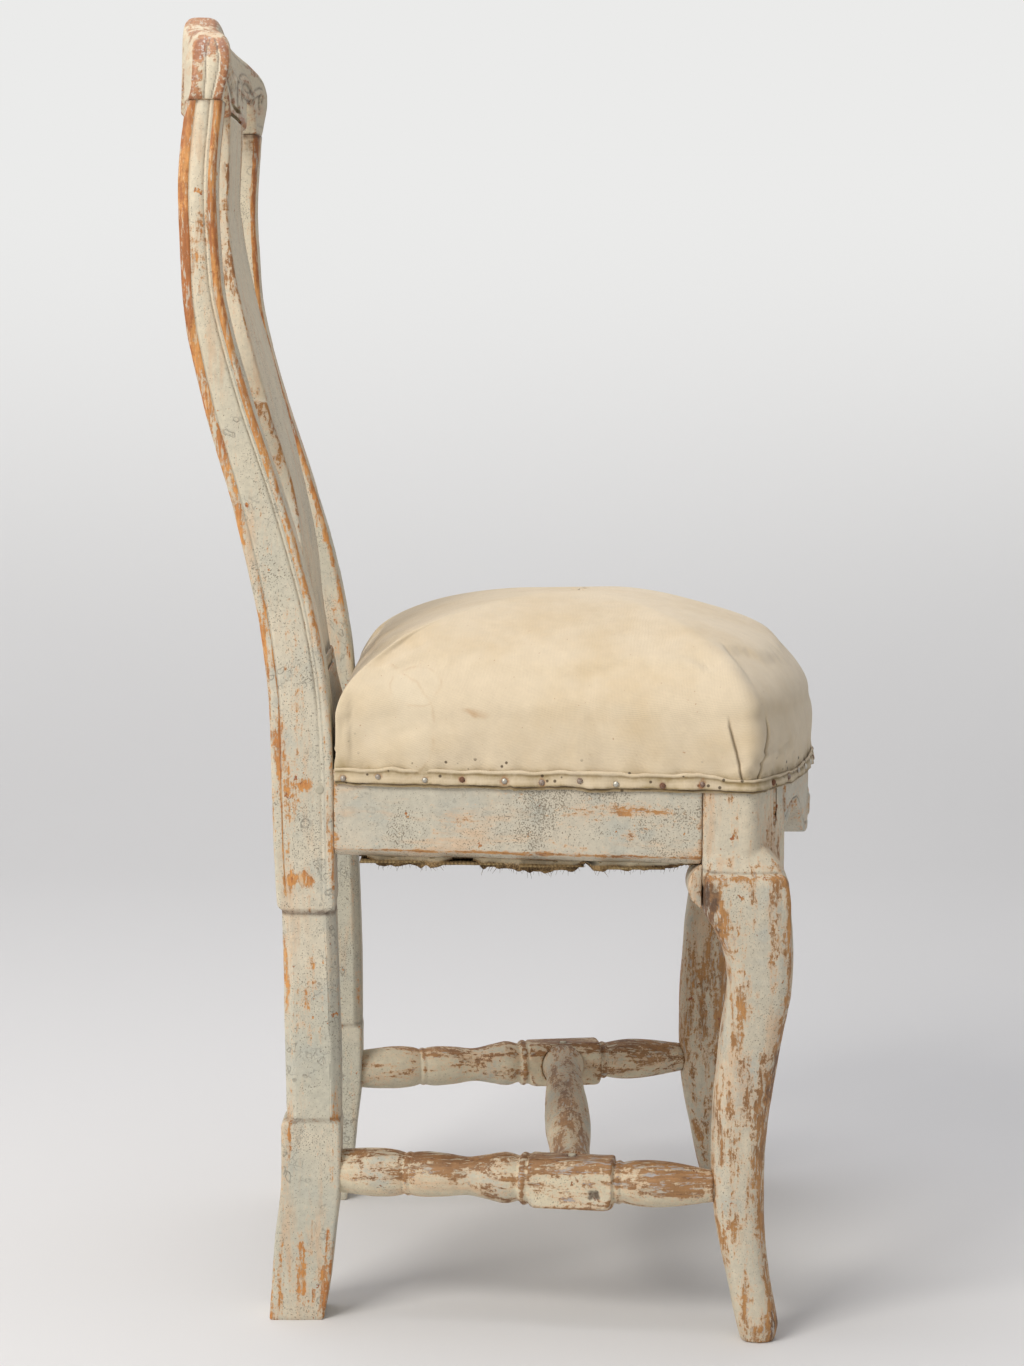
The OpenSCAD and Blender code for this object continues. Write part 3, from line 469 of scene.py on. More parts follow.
@dataclass(frozen=True)
class Jute(Finish):
    """Coarse unbleached jute yarn, dusty and rotten at the edges, woven or loose.

    Reads the points' wear as painted shade of a hole, a dark patch for the inside seen through a tear, and their
    grime as cleaner yarn.
    """

    pale: str = "A9946F"
    dark: str = "5E4C37"
    pitch: float = 2.4 * MM
    cloth: bool = True

    def surface(self, t: Tree, spot: Socket) -> Socket:
        """Draws the yarn."""
        hairs = noise(t, spot, 900.0, 3.0, 0.7)
        tone = ramp(t, times(t, noise(t, spot, 60.0, 5.0, 0.7), hairs), 0.16, 0.36)
        height = hairs
        if self.cloth:
            weave = times(t, *woven(t, spot, self.pitch, 0.8, 1.0))
            tone = times(t, plus(t, weave, 0.45, tone), 0.75)
            height = plus(t, weave, 2.0, hairs)
        colour = blend(t, tone, self.dark, self.pale)
        _, hole, cleaner = kept_values(t)
        colour = blend(t, times(t, cleaner, 0.8), colour, "C9BFA6")
        # Painted shade: a dark patch where a tear would show the shaded inside
        colour = blend(t, hole, colour, "221B14")
        return shader(t, colour, 0.95, (height, 0.9, 0.5 * MM), Specular_IOR_Level=0.2)


@dataclass(frozen=True)
class TackIron(Finish):
    """Blued cut tacks: most keep a bright rubbed head, some are crusted with brown rust."""

    steel: str = "B9B5AA"
    rust: str = "6F4830"

    def surface(self, t: Tree, spot: Socket) -> Socket:
        """Draws the iron."""
        grit = noise(t, spot, 900.0)
        crust = plus(t, grit, 0.3, noise(t, spot, 31.0, 0.0))
        crust = ramp(t, crust, 0.5, 0.8, 1.0, 0.0)
        colour = blend(t, crust, self.steel, self.rust)
        metal = ranged(t, crust, 0.85, 0.0)
        return shader(t, colour, ranged(t, crust, 0.4, 0.8), (grit, 0.5, 0.15 * MM), Metallic=metal)


@dataclass(frozen=True)
class PlainMatt(Finish):
    """An even matt finish with a faint mottle, for the painted pegs."""

    colour: str
    second: str
    scale: float = 200.0
    rough: float = 0.8

    def surface(self, t: Tree, spot: Socket) -> Socket:
        """Draws the mottle."""
        colour = blend(t, noise(t, spot, self.scale, 4.0, 0.5), self.colour, self.second)
        return shader(t, colour, self.rough)


# Shape tools


def lumps(spots: Array, size: float, seed: int = 0) -> Array:
    """Smooth random values between -1 and 1, from random numbers on a lattice.

    Args:
        spots: points, one row each.
        size: spacing of the lattice in millimetres.
        seed: picks another pattern.

    Returns:
        One value for each point.
    """
    place = spots / (size * MM) + seed * 17.31
    base = np.floor(place).astype(np.int64)
    part = place - base
    part = part * part * (3 - 2 * part)
    total = np.zeros(len(spots))
    for corner in itertools.product((0, 1), repeat=3):
        cell = base + corner
        mixed = (cell[:, 0] * 73856093) ^ (cell[:, 1] * 19349663) ^ (cell[:, 2] * 83492791)
        mixed = (mixed * 2654435761) & 0xFFFFFFFF
        mixed = ((mixed ^ (mixed >> 15)) * 2246822519) & 0xFFFFFFFF
        mixed = mixed ^ (mixed >> 13)
        weight = np.prod(np.where(corner, part, 1 - part), axis=1)
        total += weight * (mixed / 2**31 - 1)
    return total


def places(x: Array | float, y: Array | float = 0.0, z: Array | float = 0.0) -> Array:
    """Points from their three columns."""
    return np.stack(np.broadcast_arrays(x, y, z), 1)


def hump(away: Array, reach: float) -> Array:
    """Falls off smoothly from 1 in the middle of a bell, with the distance from it."""
    return np.exp(-((away / reach) ** 2))


def smooth(values: Array, low: float, high: float) -> Array:
    """Eases from 0 at low to 1 at high."""
    part = np.clip((np.asarray(values, float) - low) / (high - low), 0, 1)
    return part * part * (3 - 2 * part)


def read(items: bpy.types.bpy_prop_collection, name: str, width: int, kind: type = float) -> Array:
    """Reads one property of a mesh's points, edges or loops, one row each."""
    flat = np.zeros(len(items) * width, kind)
    items.foreach_get(name, flat)
    return flat.reshape(-1, width)


def points_of(mesh: Mesh) -> Array:
    """Vertex places of a mesh."""
    return read(mesh.vertices, "co", 3)


def normals_of(mesh: Mesh) -> Array:
    """Vertex normals of a mesh."""
    return read(mesh.vertices, "normal", 3)


def edges_of(mesh: Mesh) -> Array:
    """Vertex pairs of a mesh's edges."""
    return read(mesh.edges, "vertices", 2, np.int32)


def move_points(mesh: Mesh, spots: Array) -> None:
    """Writes new vertex places into a mesh."""
    mesh.vertices.foreach_set("co", np.ascontiguousarray(spots, float).ravel())
    mesh.update()


def push_out(mesh: Mesh, push: Array) -> None:
    """Moves each point of a mesh out along its normal."""
    move_points(mesh, points_of(mesh) + normals_of(mesh) * push[:, None])


def store(mesh: Mesh, **named: Array) -> None:
    """Keeps one value of each name for each point of a mesh."""
    for name, values in named.items():
        held = mesh.attributes.get(name) or mesh.attributes.new(name, "FLOAT", "POINT")
        held.data.foreach_set("value", np.ascontiguousarray(values, np.float32))


def stored(mesh: Mesh, name: str) -> Array:
    """Reads the values kept under a name."""
    return read(mesh.attributes[name].data, "value", 1, np.float32).ravel().astype(float)


def relax(values: Array, edges: Array, rounds: int, amount: float = 0.5) -> Array:
    """Draws each point's values towards its neighbours' mean.

    Args:
        values: one row for each point.
        edges: pairs of neighbours.
        rounds: how many times.
        amount: share of the way to the mean in each round.

    Returns:
        The evened values.
    """
    flat = values.reshape(len(values), -1).copy()
    ends = np.concatenate([edges[:, 0], edges[:, 1]])
    others = np.concatenate([edges[:, 1], edges[:, 0]])
    count = np.maximum(np.bincount(ends, minlength=len(flat)), 1)
    for _ in range(rounds):
        for column in range(flat.shape[1]):
            mean = np.bincount(ends, weights=flat[others, column], minlength=len(flat)) / count
            flat[:, column] += amount * (mean - flat[:, column])
    return flat.reshape(values.shape)


def show(name: str, mesh: Mesh) -> Object:
    """Puts a mesh in the scene as an object at the origin."""
    made = bpy.data.objects.new(name, mesh)
    bpy.context.scene.collection.objects.link(made)
    return made


def mesh_from(name: str, spots: Array, faces: list) -> Mesh:
    """Makes a mesh from points and faces."""
    mesh = bpy.data.meshes.new(name)
    mesh.from_pydata([tuple(p) for p in spots], [], faces)
    mesh.update()
    return mesh


def open_faces(rows: int, width: int, first: int = 0) -> list:
    """Faces of a sheet of rows and columns of points."""
    return [(a, a + 1, a + width + 1, a + width)
            for k in range(rows - 1) for a in range(first + k * width, first + (k + 1) * width - 1)]


def flat_map(mesh: Mesh, flat: Array) -> None:
    """Gives a cloth the flat place of each of its points."""
    corner = read(mesh.loops, "vertex_index", 1, np.int32).ravel()
    mesh.uv_layers.new(name="cloth").data.foreach_set("uv", flat[corner].ravel())


def skin_of(node: Object) -> BVHTree:
    """The faces of a frame node, for casting rays at them."""
    spots, faces = points_of(node.data), node.data.polygons
    return BVHTree.FromPolygons([tuple(p) for p in spots], [tuple(p.vertices) for p in faces])


def settled(made: Object) -> Mesh:
    """Applies an object's modifiers, removes the object and hands back the plain mesh."""
    found = made.evaluated_get(bpy.context.evaluated_depsgraph_get())
    mesh = bpy.data.meshes.new_from_object(found)
    name = made.name
    bpy.data.objects.remove(made)
    mesh.name = name
    return mesh


def thickened(name: str, mesh: Mesh, thickness: float, offset: float = 0.0) -> Mesh:
    """Gives a sheet its thickness, in millimetres."""
    made = show(name, mesh)
    wall = made.modifiers.new("thickness", "SOLIDIFY")
    wall.thickness = thickness * MM
    wall.offset = offset
    return settled(made)


def merged(node: Object, name: str) -> Object:
    """Copies a frame node and welds its loose triangles."""
    made = show(name, node.data.copy())
    weld = made.modifiers.new("weld", "WELD")
    weld.merge_threshold = 0.01 * MM
    mesh = settled(made)
    mesh.materials.clear()
    return show(name, mesh)


def remeshed(node: Object, name: str, voxel: float, rounds: int = 2) -> Mesh:
    """Turns a frame node into an even skin of small faces with softened arrises.

    Args:
        node: the frame's object.
        name: name of the new piece.
        voxel: size of the new faces.
        rounds: how often the skin is evened out.

    Returns:
        The new mesh.
    """
    made = merged(node, name)
    skin = made.modifiers.new("skin", "REMESH")
    skin.mode = "VOXEL"
    skin.voxel_size = voxel
    mesh = settled(made)
    move_points(mesh, relax(points_of(mesh), edges_of(mesh), rounds))
    return mesh


def solids_of(node: Object) -> list[Array]:
    """Points of each separate solid of a frame node."""
    whole = merged(node, "solids_read")
    spots, edges = points_of(whole.data), edges_of(whole.data)
    bpy.data.objects.remove(whole)
    label = np.arange(len(spots))
    for _ in range(200):
        best = np.minimum(label[edges[:, 0]], label[edges[:, 1]])
        fresh = label.copy()
        np.minimum.at(fresh, edges[:, 0], best)
        np.minimum.at(fresh, edges[:, 1], best)
        if (fresh == label).all():
            break
        label = fresh
    return [spots[label == mark] for mark in np.unique(label)]


def sharpness(mesh: Mesh, reach: int, full: float) -> Array:
    """How proud each point stands of the skin around it: 1 on an arris, -1 in a sharp hollow."""
    spots = points_of(mesh)
    over = spots - relax(spots, edges_of(mesh), reach)
    return np.clip(np.einsum("ij,ij->i", over, normals_of(mesh)) / full, -1, 1)


@dataclass
class Slices:
    """Cuts through a frame node, for sizes that follow the frame."""

    node: Object
    starts: Array = field(init=False)
    ends: Array = field(init=False)

    def __post_init__(self) -> None:
        """Collects the node's edges."""
        spots, edges = points_of(self.node.data), edges_of(self.node.data)
        self.starts, self.ends = spots[edges[:, 0]], spots[edges[:, 1]]

    def cut(self, axis: int, at: float) -> Array:
        """Points where the node's edges cross a plane.

        Args:
            axis: 0, 1 or 2 for a plane across X, Y or Z.
            at: place of the plane.

        Returns:
            The points, one row each.
        """
        before, after = self.starts[:, axis] - at, self.ends[:, axis] - at
        hit = (before * after < 0) | (before == 0)
        gap = np.where(after - before == 0, 1.0, after - before)
        part = np.clip(-before / gap, 0, 1)[:, None]
        return (self.starts + (self.ends - self.starts) * part)[hit]

    def span(self, axis: int, at: float, along: int, turn: int = 1) -> Array:
        """Lowest and highest place of a cut along another axis, mirrored first where the turn is -1."""
        return np.sort(turn * self.cut(axis, at)[:, along])[[0, -1]]


def patchy(spots: Array, least: float, wide: float, narrow: float, seed: int, much: float = 1.1) -> Array:
    """Share of the rubbing at each point, from the least up to 1, in wide and narrow patches."""
    cover = much * lumps(spots, wide, seed) + 0.6 * lumps(spots, narrow, seed + 1)
    return least + (1 - least) * np.clip(cover, -1, 1)


def weather(mesh: Mesh, edge: Array, grime: Array, wear: Array, dents: float, seed: int) -> None:
    """Gives a carved piece its hand-made unevenness, dented arrises and the values its finish reads.

    Args:
        mesh: the piece.
        edge: how proud each point stands, 0 to 1.
        grime: how sheltered each point is, 0 to 1, with painted shade on some pieces.
        wear: extra rubbing.
        dents: depth of the dents on the arrises.
        seed: picks the pattern.
    """
    spots = points_of(mesh)
    uneven = 0.32 * MM * lumps(spots, 31, seed) + 0.13 * MM * lumps(spots, 9, seed + 1)
    bites = np.clip(lumps(spots, 8, seed + 2) - 0.25, 0, 1) + np.clip(lumps(spots, 23, seed + 3) - 0.4, 0, 1)
    push_out(mesh, uneven - dents * np.clip(edge, 0, 1) * bites)
    store(mesh, edge=edge, grime=grime, wear=wear)


def finish_piece(
    mesh: Mesh, name: str, nodes: tuple[str, ...], material: Material
) -> Object:
    """Shows a piece, dresses it and ties it to the frame.

    Args:
        mesh: the finished mesh.
        name: name of the piece.
        nodes: frame nodes that it stands for.
        material: its finish.

    Returns:
        The object.
    """
    mesh.materials.clear()
    mesh.materials.append(material)
    mesh.polygons.foreach_set("use_smooth", [True] * len(mesh.polygons))
    mesh.polygons.foreach_set("material_index", [0] * len(mesh.polygons))
    made = show(name, mesh)
    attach(made, BODY)
    if nodes:
        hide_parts(*nodes)
    LOG.info("%s: %d faces", name, len(mesh.polygons))
    return made


def dome_faces(rings: int, width: int) -> list:
    """Faces between rings of equal length, up to one last point."""
    last = (rings - 1) * width
    fan = [(last + i, last + (i + 1) % width, last + width) for i in range(width)]
    return ring_faces(rings, width, closed=False) + fan


def ring_faces(rings: int, width: int, closed: bool = True) -> list:
    """Faces between rings of equal length, with flat ends where they are closed."""
    faces = [
        (j * width + i, j * width + (i + 1) % width, (j + 1) * width + (i + 1) % width, (j + 1) * width + i)
        for j in range(rings - 1)
        for i in range(width)
    ]
    if closed:
        faces.append(tuple(reversed(range(width))))
        faces.append(tuple((rings - 1) * width + i for i in range(width)))
    return faces


@dataclass(frozen=True)
class Mark:
    """A rubbed, dented or darkened place (dirt, and in places painted shade), in millimetres: its middle, its reach
    and its strength.
    """

    at: tuple[float, float, float]
    reach: tuple[float, float, float]
    strength: float


def rows_of(*rows: tuple[float, ...]) -> tuple[Mark, ...]:
    """Marks from rows of their middle, reach and strength."""
    return tuple(Mark(row[:3], row[3:6], row[6]) for row in rows)


def marked(spots: Array, marks: tuple[Mark, ...]) -> Array:
    """Strongest mark at each point.

    Args:
        spots: points in metres.
        marks: the marks.

    Returns:
        One value for each point.
    """
    total, shield = np.zeros(len(spots)), np.zeros(len(spots))
    sway = np.stack([0 * total, *(4.0 * lumps(spots, 9, s) + 2.0 * lumps(spots, 4, s) for s in (81, 82))], 1)
    for mark in marks:
        away = ((spots / MM + sway - np.array(mark.at)) / np.array(mark.reach)) ** 2
        level = mark.strength * np.exp(-away.sum(axis=1))
        total, shield = np.maximum(total, level), np.minimum(shield, level)
    return total + shield


@dataclass(frozen=True)
class Station:
    """A point of a moulded section.

    The faces are numbered front, outer, back, inner. A corner station sits on the rounding where
    its face begins; any other sits at a distance from its face's start, or from its end if the
    distance is negative, or at a share of the face if it is in the middle.
    """

    face: int
    place: float
    kind: str = "face"
    cut: float = 0.0
    edge: float = 0.0
    grime: float = 0.0


def corner_stations(face: int, edge: float) -> list[Station]:
    """Four points on the rounding where a face begins."""
    return [Station(face, t, "corner", edge=edge * (0.6 if t in (0, 1) else 1.0)) for t in (0, 1 / 3, 2 / 3, 1)]


def groove_stations(
    face: int, bead: float, width: float, edge: float, from_end: bool = False, deep: float = 1.0
) -> list[Station]:
    """Six points that cut a groove along a face and leave a bead at its edge.

    Args:
        face: which face.
        bead: width of the bead.
        width: width of the groove.
        edge: how worn the bead is.
        from_end: whether the bead is at the face's far edge.
        deep: depth and dirt of the groove.

    Returns:
        The stations in order along the face.
    """
    plan = (
        (bead - 1.1 * MM, 0.0, edge, 0.0), (bead, 0.05, edge * 0.7, 0.3),
        (bead + 0.25 * width, 1.0, 0.0, 1.0), (bead + 0.75 * width, 1.0, 0.0, 1.0),
        (bead + width, 0.05, 0.2, 0.3), (bead + width + 1.2 * MM, 0.0, 0.05, 0.0),
    )
    made = [Station(face, -d if from_end else d, "face", deep * cut, rub, deep * dirt) for d, cut, rub, dirt in plan]
    return made[::-1] if from_end else made


def middle_stations(face: int, *shares: float, swell: float = 0.0) -> list[Station]:
    """Points on the open middle of a face, standing proud by the swell."""
    return [Station(face, s, "middle", cut=-swell * 4 * s * (1 - s)) for s in shares]


@dataclass
class MouldedLength:
    """A length of wood that stands upright, with a moulding worked along its faces.

    Its section at each height is the frame node's own, so it follows every curve and shoulder.
    """

    node: Object
    stations: list[Station]
    levels: Array
    depth: float = 1.25 * MM
    flip: int = 1

    def mesh(
        self, name: str, radius: Array, square: Array, fade: dict[int, Array],
        lean: tuple[float | Array, float | Array] = (0.0, 0.0),
    ) -> Mesh:
        """Lofts the length.

        Args:
            name: name of the mesh.
            radius: size of the corners at each level.
            square: 0 for rounded corners, 1 for chamfers, at each level.
            fade: how deep each face's moulding is at each level.
            lean: how far the front and the back stand behind the frame's, at each level.

        Returns:
            The mesh, with its edge and grime values.
        """
        cuts = Slices(self.node)
        x0, x1 = np.array([cuts.span(2, z, 0, self.flip) for z in self.levels]).T
        y0, y1 = np.array([cuts.span(2, z, 1) for z in self.levels]).T
        y0, y1 = y0 + lean[0], y1 + lean[1]
        corners = [np.stack(c, 1) for c in ((x0, y0), (x1, y0), (x1, y1), (x0, y1))]
        ways = [np.array(d, float) for d in ((1, 0), (0, 1), (-1, 0), (0, -1))]
        rad, flat = radius[:, None], square[:, None]
        columns = []
        for s in self.stations:
            way, before, inward = ways[s.face], ways[s.face - 1], np.array([-ways[s.face][1], ways[s.face][0]])
            start, end = corners[s.face], corners[(s.face + 1) % 4]
            if s.kind == "corner":
                angle = s.place * math.pi / 2
                centre = start - rad * before + rad * way
                arc = centre + rad * (before * math.sin(angle) - way * math.cos(angle))
                line = start - rad * before * (1 - s.place) + rad * way * s.place
                columns.append(arc + (line - arc) * flat)
                continue
            depth = s.cut * (self.depth if s.cut > 0 else 1.0) * fade.get(s.face, np.zeros(len(x0)))
            if s.kind == "middle":
                spot = start + (end - start) * s.place
                depth = np.full(len(x0), s.cut)
            elif s.place > 0:
                spot = start + way * np.maximum(s.place, radius + 1 * MM)[:, None]
            else:
                spot = end + way * np.minimum(s.place, -radius - 1 * MM)[:, None]
            columns.append(spot + inward * depth[:, None])
        ring = np.stack(columns, 1)
        ring[:, :, 0] *= self.flip
        high = np.repeat(self.levels[:, None], ring.shape[1], 1)
        spots = np.concatenate([ring, high[:, :, None]], 2).reshape(-1, 3)
        faces = ring_faces(len(self.levels), len(self.stations))
        if self.flip < 0:
            faces = [tuple(reversed(f)) for f in faces]
        mesh = mesh_from(name, spots, faces)
        count = len(self.levels)
        edge, grime = (np.tile(v, count) for v in zip(*((s.edge, s.grime) for s in self.stations)))
        fading = np.stack([fade.get(s.face, np.zeros(count)) for s in self.stations], 1).ravel()
        store(mesh, edge=edge, grime=grime * fading)
        return mesh


# How far the front and the back of the posts stand behind the frame's at each height, in millimetres
POST_LEAN = np.array([
    (500, 0.0, 0.0), (566, 0.0, 0.8), (643, 0.2, 1.0), (694, 0.5, 1.5), (745, 1.2, 2.2), (771, 1.6, 2.2),
    (797, 2.0, 1.6), (822, 2.3, 1.2), (848, 2.5, 1.6), (874, 2.4, 2.3), (900, 2.4, 3.0), (928, 2.5, 4.2),
    (951, 2.9, 4.6),
])


@dataclass
class BackLegs:
    """Both back legs: swept foot, chamfered middle, squared blocks and the raked, beaded posts."""

    nodes: dict
    paint: Material
    bead: float = 7 * MM
    groove: float = 1.8 * MM
    arris: float = 2.6 * MM
    chamfer: float = 7 * MM
    steps: tuple[float, float, float] = (161, 330, 951)
    white_bead: Rows = (
        (5.7, 0.0, 0.9, 0.0), (6.2, 0.5, 0.3, 0.4), (6.9, -0.3 * MM, 0.0, 0.0), (8.3, -0.3 * MM, 0.0, 0.0),
        (9.1, 0.85, 0.0, 0.9), (9.7, 0.85, 0.0, 0.9), (10.5, 0.05, 0.0, 0.3), (11.8, 0.0, 0.0, 0.0),
    )
    # Darkening of the posts' inner faces just under the crest: grime, and painted shadow of the crest
    soot: tuple[Mark, ...] = rows_of((-150, 213, 918, 14, 9, 52, 1.0), (-150, 222, 940, 14, 15, 18, 0.8))
    # The first two marks rub the inner faces under the crest to brown wood, partly as painted shadow of the crest
    marks: tuple[Mark, ...] = rows_of(
        (-150, 214, 915, 14, 7, 50, 0.8), (-150, 200, 830, 14, 5, 60, 0.4),
        (-194, 152, 425, 8, 9, 4, 0.6), (-194, 163, 355, 8, 11, 6, 0.7),
        (-194, 168, 345, 10, 5, 9, 0.35), (-194, 160, 262, 30, 18, 50, 0.13),
        (-190, 150, 40, 20, 22, 26, 0.2), (-192, 168, 390, 12, 4, 70, 0.2),
        (-190, 160, 160, 20, 30, 6, 0.12),
    )

    def stations(self) -> list[Station]:
        """Points round a leg's section."""
        plan: list[Station] = []
        for face, rubs in enumerate((1.0, 0.9, 1.0, 0.9)):
            plan += corner_stations(face, rubs)
            if face == 0:
                plan += groove_stations(face, self.bead, self.groove, 0.35)
                plan += middle_stations(face, 0.5, swell=0.3 * MM)
                plan += groove_stations(face, self.bead, self.groove, 0.35, from_end=True)
            elif face == 1:
                plan += [Station(face, d * MM, "face", cut, rub, dirt) for d, cut, rub, dirt in self.white_bead]
                plan += middle_stations(face, 0.45, 0.6, swell=0.4 * MM)
                plan += groove_stations(face, self.bead + 0.8 * MM, self.groove, 0.95, from_end=True, deep=0.55)
            else:
                plan += [Station(face, 4.5 * MM, edge=0.3)]
                plan += middle_stations(face, 0.35, 0.65, swell=0.2 * MM)
                plan += [Station(face, -4.5 * MM, edge=0.3)]
        return plan

    def build(self, side: Side) -> Object:
        """Builds one leg.

        Args:
            side: which leg.

        Returns:
            The finished piece.
        """
        name = f"rear_leg_{side.word}"
        node = self.nodes[name]
        fine = np.arange(-9, 9.1, 0.75)
        low, block, joint = self.steps
        levels = [[0.0, 0.6, 1.4, 2.5], np.arange(5, joint, 2.6), low + fine, block + fine, [joint - 0.4]]
        levels = np.unique(np.round(np.concatenate(levels), 2))
        waist = smooth(levels, low - 5, low + 1) * (1 - smooth(levels, block - 3.5, block + 1))
        top = smooth(levels, 470, 500)
        foot = 1 - smooth(levels, 0, 3)
        radius = (self.arris + (self.chamfer - self.arris) * waist) * (1 - 0.3 * foot) + 1.1 * MM * top
        worked = MouldedLength(node, self.stations(), levels * MM, flip=side.out)
        rear = 0.45 * smooth(levels, 333, 345) * (1 - top) + top
        lean = tuple(np.interp(levels, POST_LEAN[:, 0], POST_LEAN[:, k]) * MM for k in (1, 2))
        mesh = worked.mesh(f"{name}_worked", radius, waist, {0: top, 1: np.maximum(top, rear)}, lean)
        spots = points_of(mesh)
        near = spots * (-side.out, 1, 1)
        edge = stored(mesh, "edge")
        edge = edge * patchy(spots, 0.62, 46, 15, 5) * (0.55 + 0.45 * smooth(spots[:, 2], 0.42, 0.6))
        grime = stored(mesh, "grime") * 0.8
        for at, strength, reach in ((0.327, 0.9, 0.004), (0.161, 0.7, 0.003), (0.951, 0.8, 0.003), (0.0, 0.5, 0.004)):
            grime += strength * hump(spots[:, 2] - at, reach)
        high, rubs = spots[:, 2], stored(mesh, "edge")
        bands = 0.4 * smooth(rubs, 0.45, 0.6) * smooth(high, 0.56, 0.8)
        seam = hump(rubs - 0.665, 0.02) * smooth(high, 0.335, 0.35) * (1 - smooth(high, 0.5, 0.6))
        bands += 0.5 * seam
        # Grime, and the painted shadow of the crest on the inner faces under it
        grime = np.clip(grime + marked(near, self.soot), 0, 1)
        weather(mesh, edge, grime, marked(near, self.marks) + bands, 0.9 * MM, 11 + side.out)
        return finish_piece(mesh, f"{name}_carved", (name,), self.paint)


@dataclass
class Splat:
    """The vase splat, a bent board with an incised border on its face."""

    nodes: dict
    paint: Material
    border: float = 8.5 * MM
    groove: float = 1.8 * MM
    arris: float = 2.2 * MM

    def build(self) -> Object:
        """Builds the splat.

        Returns:
            The finished piece.
        """
        plan: list[Station] = []
        for face in range(4):
            plan += corner_stations(face, 1.0)
            if face == 0:
                plan += groove_stations(face, self.border, self.groove, 0.25)
                plan += middle_stations(face, 0.25, 0.4, 0.5, 0.6, 0.75, swell=0.5 * MM)
                plan += groove_stations(face, self.border, self.groove, 0.25, from_end=True)
            elif face == 2:
                plan += [Station(face, 4 * MM, edge=0.2)]
                plan += middle_stations(face, 0.2, 0.4, 0.6, 0.8)
                plan += [Station(face, -4 * MM, edge=0.2)]
        node = self.nodes["splat"]
        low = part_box(node.name)[0].z / MM
        levels = np.concatenate([np.arange(low + 0.2, 950.8, 2.4), 731 + np.arange(-4, 4.1, 0.5),
                                 876 + np.arange(-5, 5.1, 0.5)])
        levels = np.unique(np.round(levels, 2))
        worked = MouldedLength(node, plan, levels * MM, depth=1.2 * MM)
        even = np.ones(len(levels))
        mesh = worked.mesh("splat_worked", even * self.arris, even * 0, {0: even})
        spots = points_of(mesh)
        grime = np.clip(stored(mesh, "grime") * 0.7 + hump(spots[:, 2] - 0.514, 0.006), 0, 1)
        weather(mesh, stored(mesh, "edge") * patchy(spots, 0.6, 40, 14, 8, 1.0), grime, 0 * grime, 0.8 * MM, 21)
        return finish_piece(mesh, "splat_carved", ("splat",), self.paint)


def outline_range(node: Object, at: Array) -> tuple[Array, Array]:
    """Lowest and highest point of a piece across its width.

    Args:
        node: the piece.
        at: places along X.

    Returns:
        The heights of its lower and upper outline there.
    """
    cuts = Slices(node)
    lo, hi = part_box(node.name)
    stations = np.linspace(lo.x + 0.2 * MM, hi.x - 0.2 * MM, 160)
    ends = np.array([cuts.span(0, s, 2) for s in stations])
    return np.interp(at, stations, ends[:, 0]), np.interp(at, stations, ends[:, 1])


def from_line(flat: Array, line: Array) -> tuple[Array, Array]:
    """Distance of points from a drawn line.

    Args:
        flat: points in the drawing's plane.
        line: the line's points.

    Returns:
        The distance of each point, and how far along the line it is nearest, from 0 to 1.
    """
    best, place = np.full(len(flat), 1e9), np.zeros(len(flat))
    total = len(line) - 1
    for i in range(total):
        a, run = line[i], line[i + 1] - line[i]
        share = np.clip(((flat - a) @ run) / (run @ run), 0, 1)
        away = np.linalg.norm(flat - a - share[:, None] * run, axis=1)
        nearer = away < best
        best[nearer], place[nearer] = away[nearer], (i + share[nearer]) / total
    return best, place


def scroll(start: tuple[float, float], bend: list[tuple[float, float]], eye: tuple[float, float], size: float,
           turn: int) -> Array:
    """Draws a C-scroll: a swept stem that curls round an eye.

    Args:
        start: where the stem begins.
        bend: points that the stem passes.
        eye: middle of the curl.
        size: radius at which the curl begins.
        turn: 1 or -1, the way it curls.

    Returns:
        The line's points.
    """
    keys = np.array([start, *bend])
    stem = []
    for t in np.linspace(0, 1, 24):
        row = keys.copy()
        while len(row) > 1:
            row = row[:-1] + (row[1:] - row[:-1]) * t
        stem.append(row[0])
    first = stem[-1] - np.array(eye)
    angle = math.atan2(first[1], first[0])
    share = np.linspace(0.02, 1, 30)
    way, reach = angle + turn * CURL * share, size * (1 - 0.72 * share)
    return np.vstack([stem, np.column_stack([eye[0] + reach * np.cos(way), eye[1] + reach * np.sin(way)])])


def less_bowed(spots: Array) -> Array:
    """Draws the seat's bowed front in by an eighth of its bow."""
    return spots + np.array([0, LESS_BOW, 0]) * np.clip(BOW_FROM - spots[:, 1:2], 0, None)


